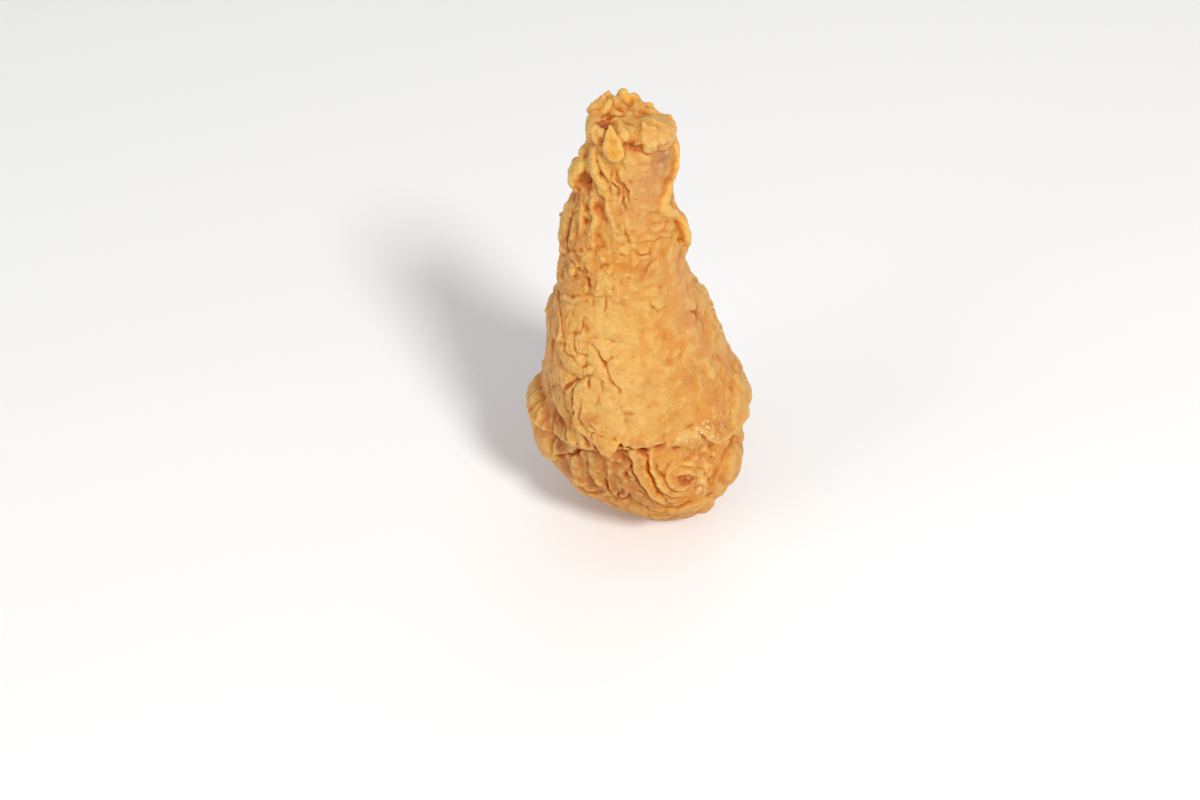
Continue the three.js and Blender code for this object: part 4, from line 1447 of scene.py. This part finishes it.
def crust_color(n, mottle, grain, wrinkle):
    """Golden crust with mottling, tints, stains and pale edges, painted shade in creases, hollows,
    pits and hidden places and towards the foot, painted highlights on humps and the front, and
    painted glints where it is oily, one over the other.
    """
    mark = n.attribute
    fine, broad, crease = mark("fine"), mark("broad"), mark("crease")
    patches = n.noise(9, detail=3, distortion=0.6, seed=1)
    blotches = n.noise(4.5, detail=4, distortion=0.8, seed=5)
    specks = n.noise(0.9, detail=2, seed=7)
    glints = n.ramp(n.noise(1.1, detail=3, distortion=0.5, seed=8), 0.6, 0.68)
    color = n.layered(GOLD, [
        (n.ramp(patches, 0.38, 0.66), AMBER),
        # Painted highlight on the front
        (n.ramp(mark("painted_front_highlight"), 0.1, 0.9, 0.0, 0.65), PALE),
        (n.times(n.ramp(mottle, 0.5, 0.68), 0.6), AMBER),
        (n.ramp(blotches, 0.52, 0.64, 0.0, 0.45), PALE),
        (mark("pink"), PINK),
        (mark("orange"), ORANGE),
        (mark("yellow"), YELLOW),
        (n.times(mark("over"), 0.85), YELLOW),
        # Stains, and painted shade in the pits and creases where many of them sit
        (n.times(mark("stain_and_painted_shade"), n.ramp(mottle, 0.3, 0.6, 0.3, 0.9)), RUST),
        (n.times(mark("bare"), 0.8), BARE),
        (n.times(mark("purple"), 0.8), PURPLE),
        # Painted highlights on broad humps and small bumps, painted shade in broad and small hollows
        # and in the creases
        (n.ramp(broad, 0.05, 0.4, 0.0, 0.5), PALE),
        (n.ramp(broad, -0.03, -0.4, 0.0, 0.8), BROWN),
        (n.ramp(fine, -0.03, -0.12, 0.0, 0.6), BROWN),
        (n.ramp(crease, 0.15, 0.7, 0.0, 0.85), BROWN),
        (n.ramp(crease, 0.7, 1.5, 0.0, 0.9), DEEP),
        (n.ramp(broad, -0.5, -1.1, 0.0, 0.7), DEEP),
        (n.ramp(fine, 0.02, 0.1, 0.0, 0.5), PALE),
        (n.times(wrinkle, 0.25), BROWN),
        (n.ramp(grain, 0.35, 0.7, 0.0, 0.2), PALE),
        (n.ramp(specks, 0.56, 0.72, 0.0, 0.35), AMBER),
    ])
    # Painted shade towards the foot and in the places that the crust itself hides
    shading = [(n.times(mark("foot"), 0.7), FOOT_SHADE), (n.ramp(mark("hidden"), 0.08, 0.46), SHADE)]
    color = n.layered(color, shading, "MULTIPLY")
    # Painted glints: white specks where the crust is oily
    return n.mix(n.times(n.times(glints, mark("oily")), 0.75), color, GLINT)


def crust_material():
    n = Nodes("fried crust")
    mottle = n.noise(2.2, detail=5, distortion=0.4, seed=2)
    grain = n.noise(0.55, detail=4, seed=3)
    line = n.math("SUBTRACT", n.noise(2.8, detail=2.5, distortion=0.3, seed=6), 0.5)
    wrinkle = n.ramp(n.math("ABSOLUTE", line), 0.0, 0.06, 1.0, 0.0)
    wrinkle = n.times(wrinkle, n.attribute("wild"))
    n.feed(n.shader.inputs["Base Color"], crust_color(n, mottle, grain, wrinkle))
    rough = n.ramp(n.noise(1.8, detail=3, seed=4), 0.3, 0.7, 0.38, 0.56)
    rough = n.math("SUBTRACT", rough, n.times(n.attribute("oily"), 0.3))
    n.feed(n.shader.inputs["Roughness"], rough)
    for name, value in CRUST_SHADER.items():
        n.feed(n.shader.inputs[name], value)
    height = n.math("ADD", grain, n.times(mottle, 0.8))
    bump = n.new("ShaderNodeBump")
    n.feed(bump.inputs["Strength"], BUMP_STRENGTH)
    n.feed(bump.inputs["Distance"], BUMP_HEIGHT * MM)
    n.feed(bump.inputs["Height"], n.math("SUBTRACT", height, n.times(wrinkle, 0.3)))
    n.feed(n.shader.inputs["Normal"], bump.outputs[0])
    return n.material


def floor_material():
    n = Nodes("pale floor")
    n.feed(n.shader.inputs["Base Color"], FLOOR)
    n.feed(n.shader.inputs["Roughness"], FLOOR_ROUGHNESS)
    return n.material


FLOOR_HALF = 3000


def make_floor():
    h = FLOOR_HALF
    corners = np.array([[-h, -h, 0], [h, -h, 0], [h, h, 0], [-h, h, 0]], float)
    floor = mesh_object("floor", corners, np.array([[0, 1, 2, 3]]))
    floor.data.materials.append(floor_material())


def placed_axes(place, right, up, back):
    """A matrix from a place in millimetres and three axes."""
    matrix = Matrix.Identity(4)
    for column, axis in enumerate((right, up, back)):
        for row in range(3):
            matrix[row][column] = float(axis[row])
    for row in range(3):
        matrix[row][3] = float(place[row]) * MM
    return matrix


def aimed(place, target):
    """A matrix that stands at a place and looks at a target."""
    back = unit(np.subtract(place, target))
    right = unit(np.cross([0, 0, 1], back))
    return placed_axes(place, right, np.cross(back, right), back)


# Soft lights over the floor: name, place, size, power, colour
LIGHTS = [
    ("key", (400, -620, 900), 260, 9.65, (1.0, 0.985, 0.965)),
    ("fill", (-900, -500, 500), 800, 3.3, (0.98, 0.985, 1.0)),
    ("back", (200, 900, 700), 900, 1.0, (1.0, 1.0, 1.0)),
]
LIGHT_TARGET = (0, 0, 60)
WORLD_COLOR = (1, 1, 1, 1)
WORLD_STRENGTH = 0.48


def make_lights():
    for name, place, size, power, color in LIGHTS:
        data = bpy.data.lights.new(name, "AREA")
        data.shape = "DISK"
        data.size = size * MM
        data.energy = power
        data.color = color
        light = bpy.data.objects.new(name, data)
        light.matrix_world = aimed(place, LIGHT_TARGET)
        bpy.context.scene.collection.objects.link(light)
    world = bpy.data.worlds.new("studio")
    world.use_nodes = True
    background = world.node_tree.nodes["Background"]
    background.inputs["Color"].default_value = WORLD_COLOR
    background.inputs["Strength"].default_value = WORLD_STRENGTH
    bpy.context.scene.world = world


# The camera looks level along +Y, pitched down and rolled a little, as solved from the photo
CAMERA_PLACE = (-15.8, -267.0, 312.1)
CAMERA_PITCH = 45.97
CAMERA_ROLL = -2.33
FOCAL_PIXELS = 1491.1
IMAGE_WIDTH = 1200
SENSOR_WIDTH = 36.0
# The nearest and the farthest that the camera shows, in metres
CAMERA_CLIP = (0.01, 50)


def make_camera():
    data = bpy.data.cameras.new("camera")
    data.sensor_width = SENSOR_WIDTH
    data.lens = FOCAL_PIXELS / IMAGE_WIDTH * SENSOR_WIDTH
    data.clip_start, data.clip_end = CAMERA_CLIP
    camera = bpy.data.objects.new("camera", data)
    pitch, roll = math.radians(CAMERA_PITCH), math.radians(CAMERA_ROLL)
    back = np.array([0, -math.cos(pitch), math.sin(pitch)])
    level_up = np.array([0, math.sin(pitch), math.cos(pitch)])
    level_right = np.array([1.0, 0, 0])
    right = level_right * math.cos(roll) - level_up * math.sin(roll)
    up = level_right * math.sin(roll) + level_up * math.cos(roll)
    camera.matrix_world = placed_axes(CAMERA_PLACE, right, up, back)
    bpy.context.scene.collection.objects.link(camera)
    bpy.context.scene.camera = camera


crust = make_crust()
roughen(crust.data)
thin_out(crust)
store_marks(crust.data)
crust.data.materials.clear()
crust.data.materials.append(crust_material())
crust.data.polygons.foreach_set("use_smooth", [True] * len(crust.data.polygons))
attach(crust, "root")
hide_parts("fried_leg")

make_floor()
make_lights()
make_camera()
bpy.context.scene.view_settings.view_transform = "Standard"
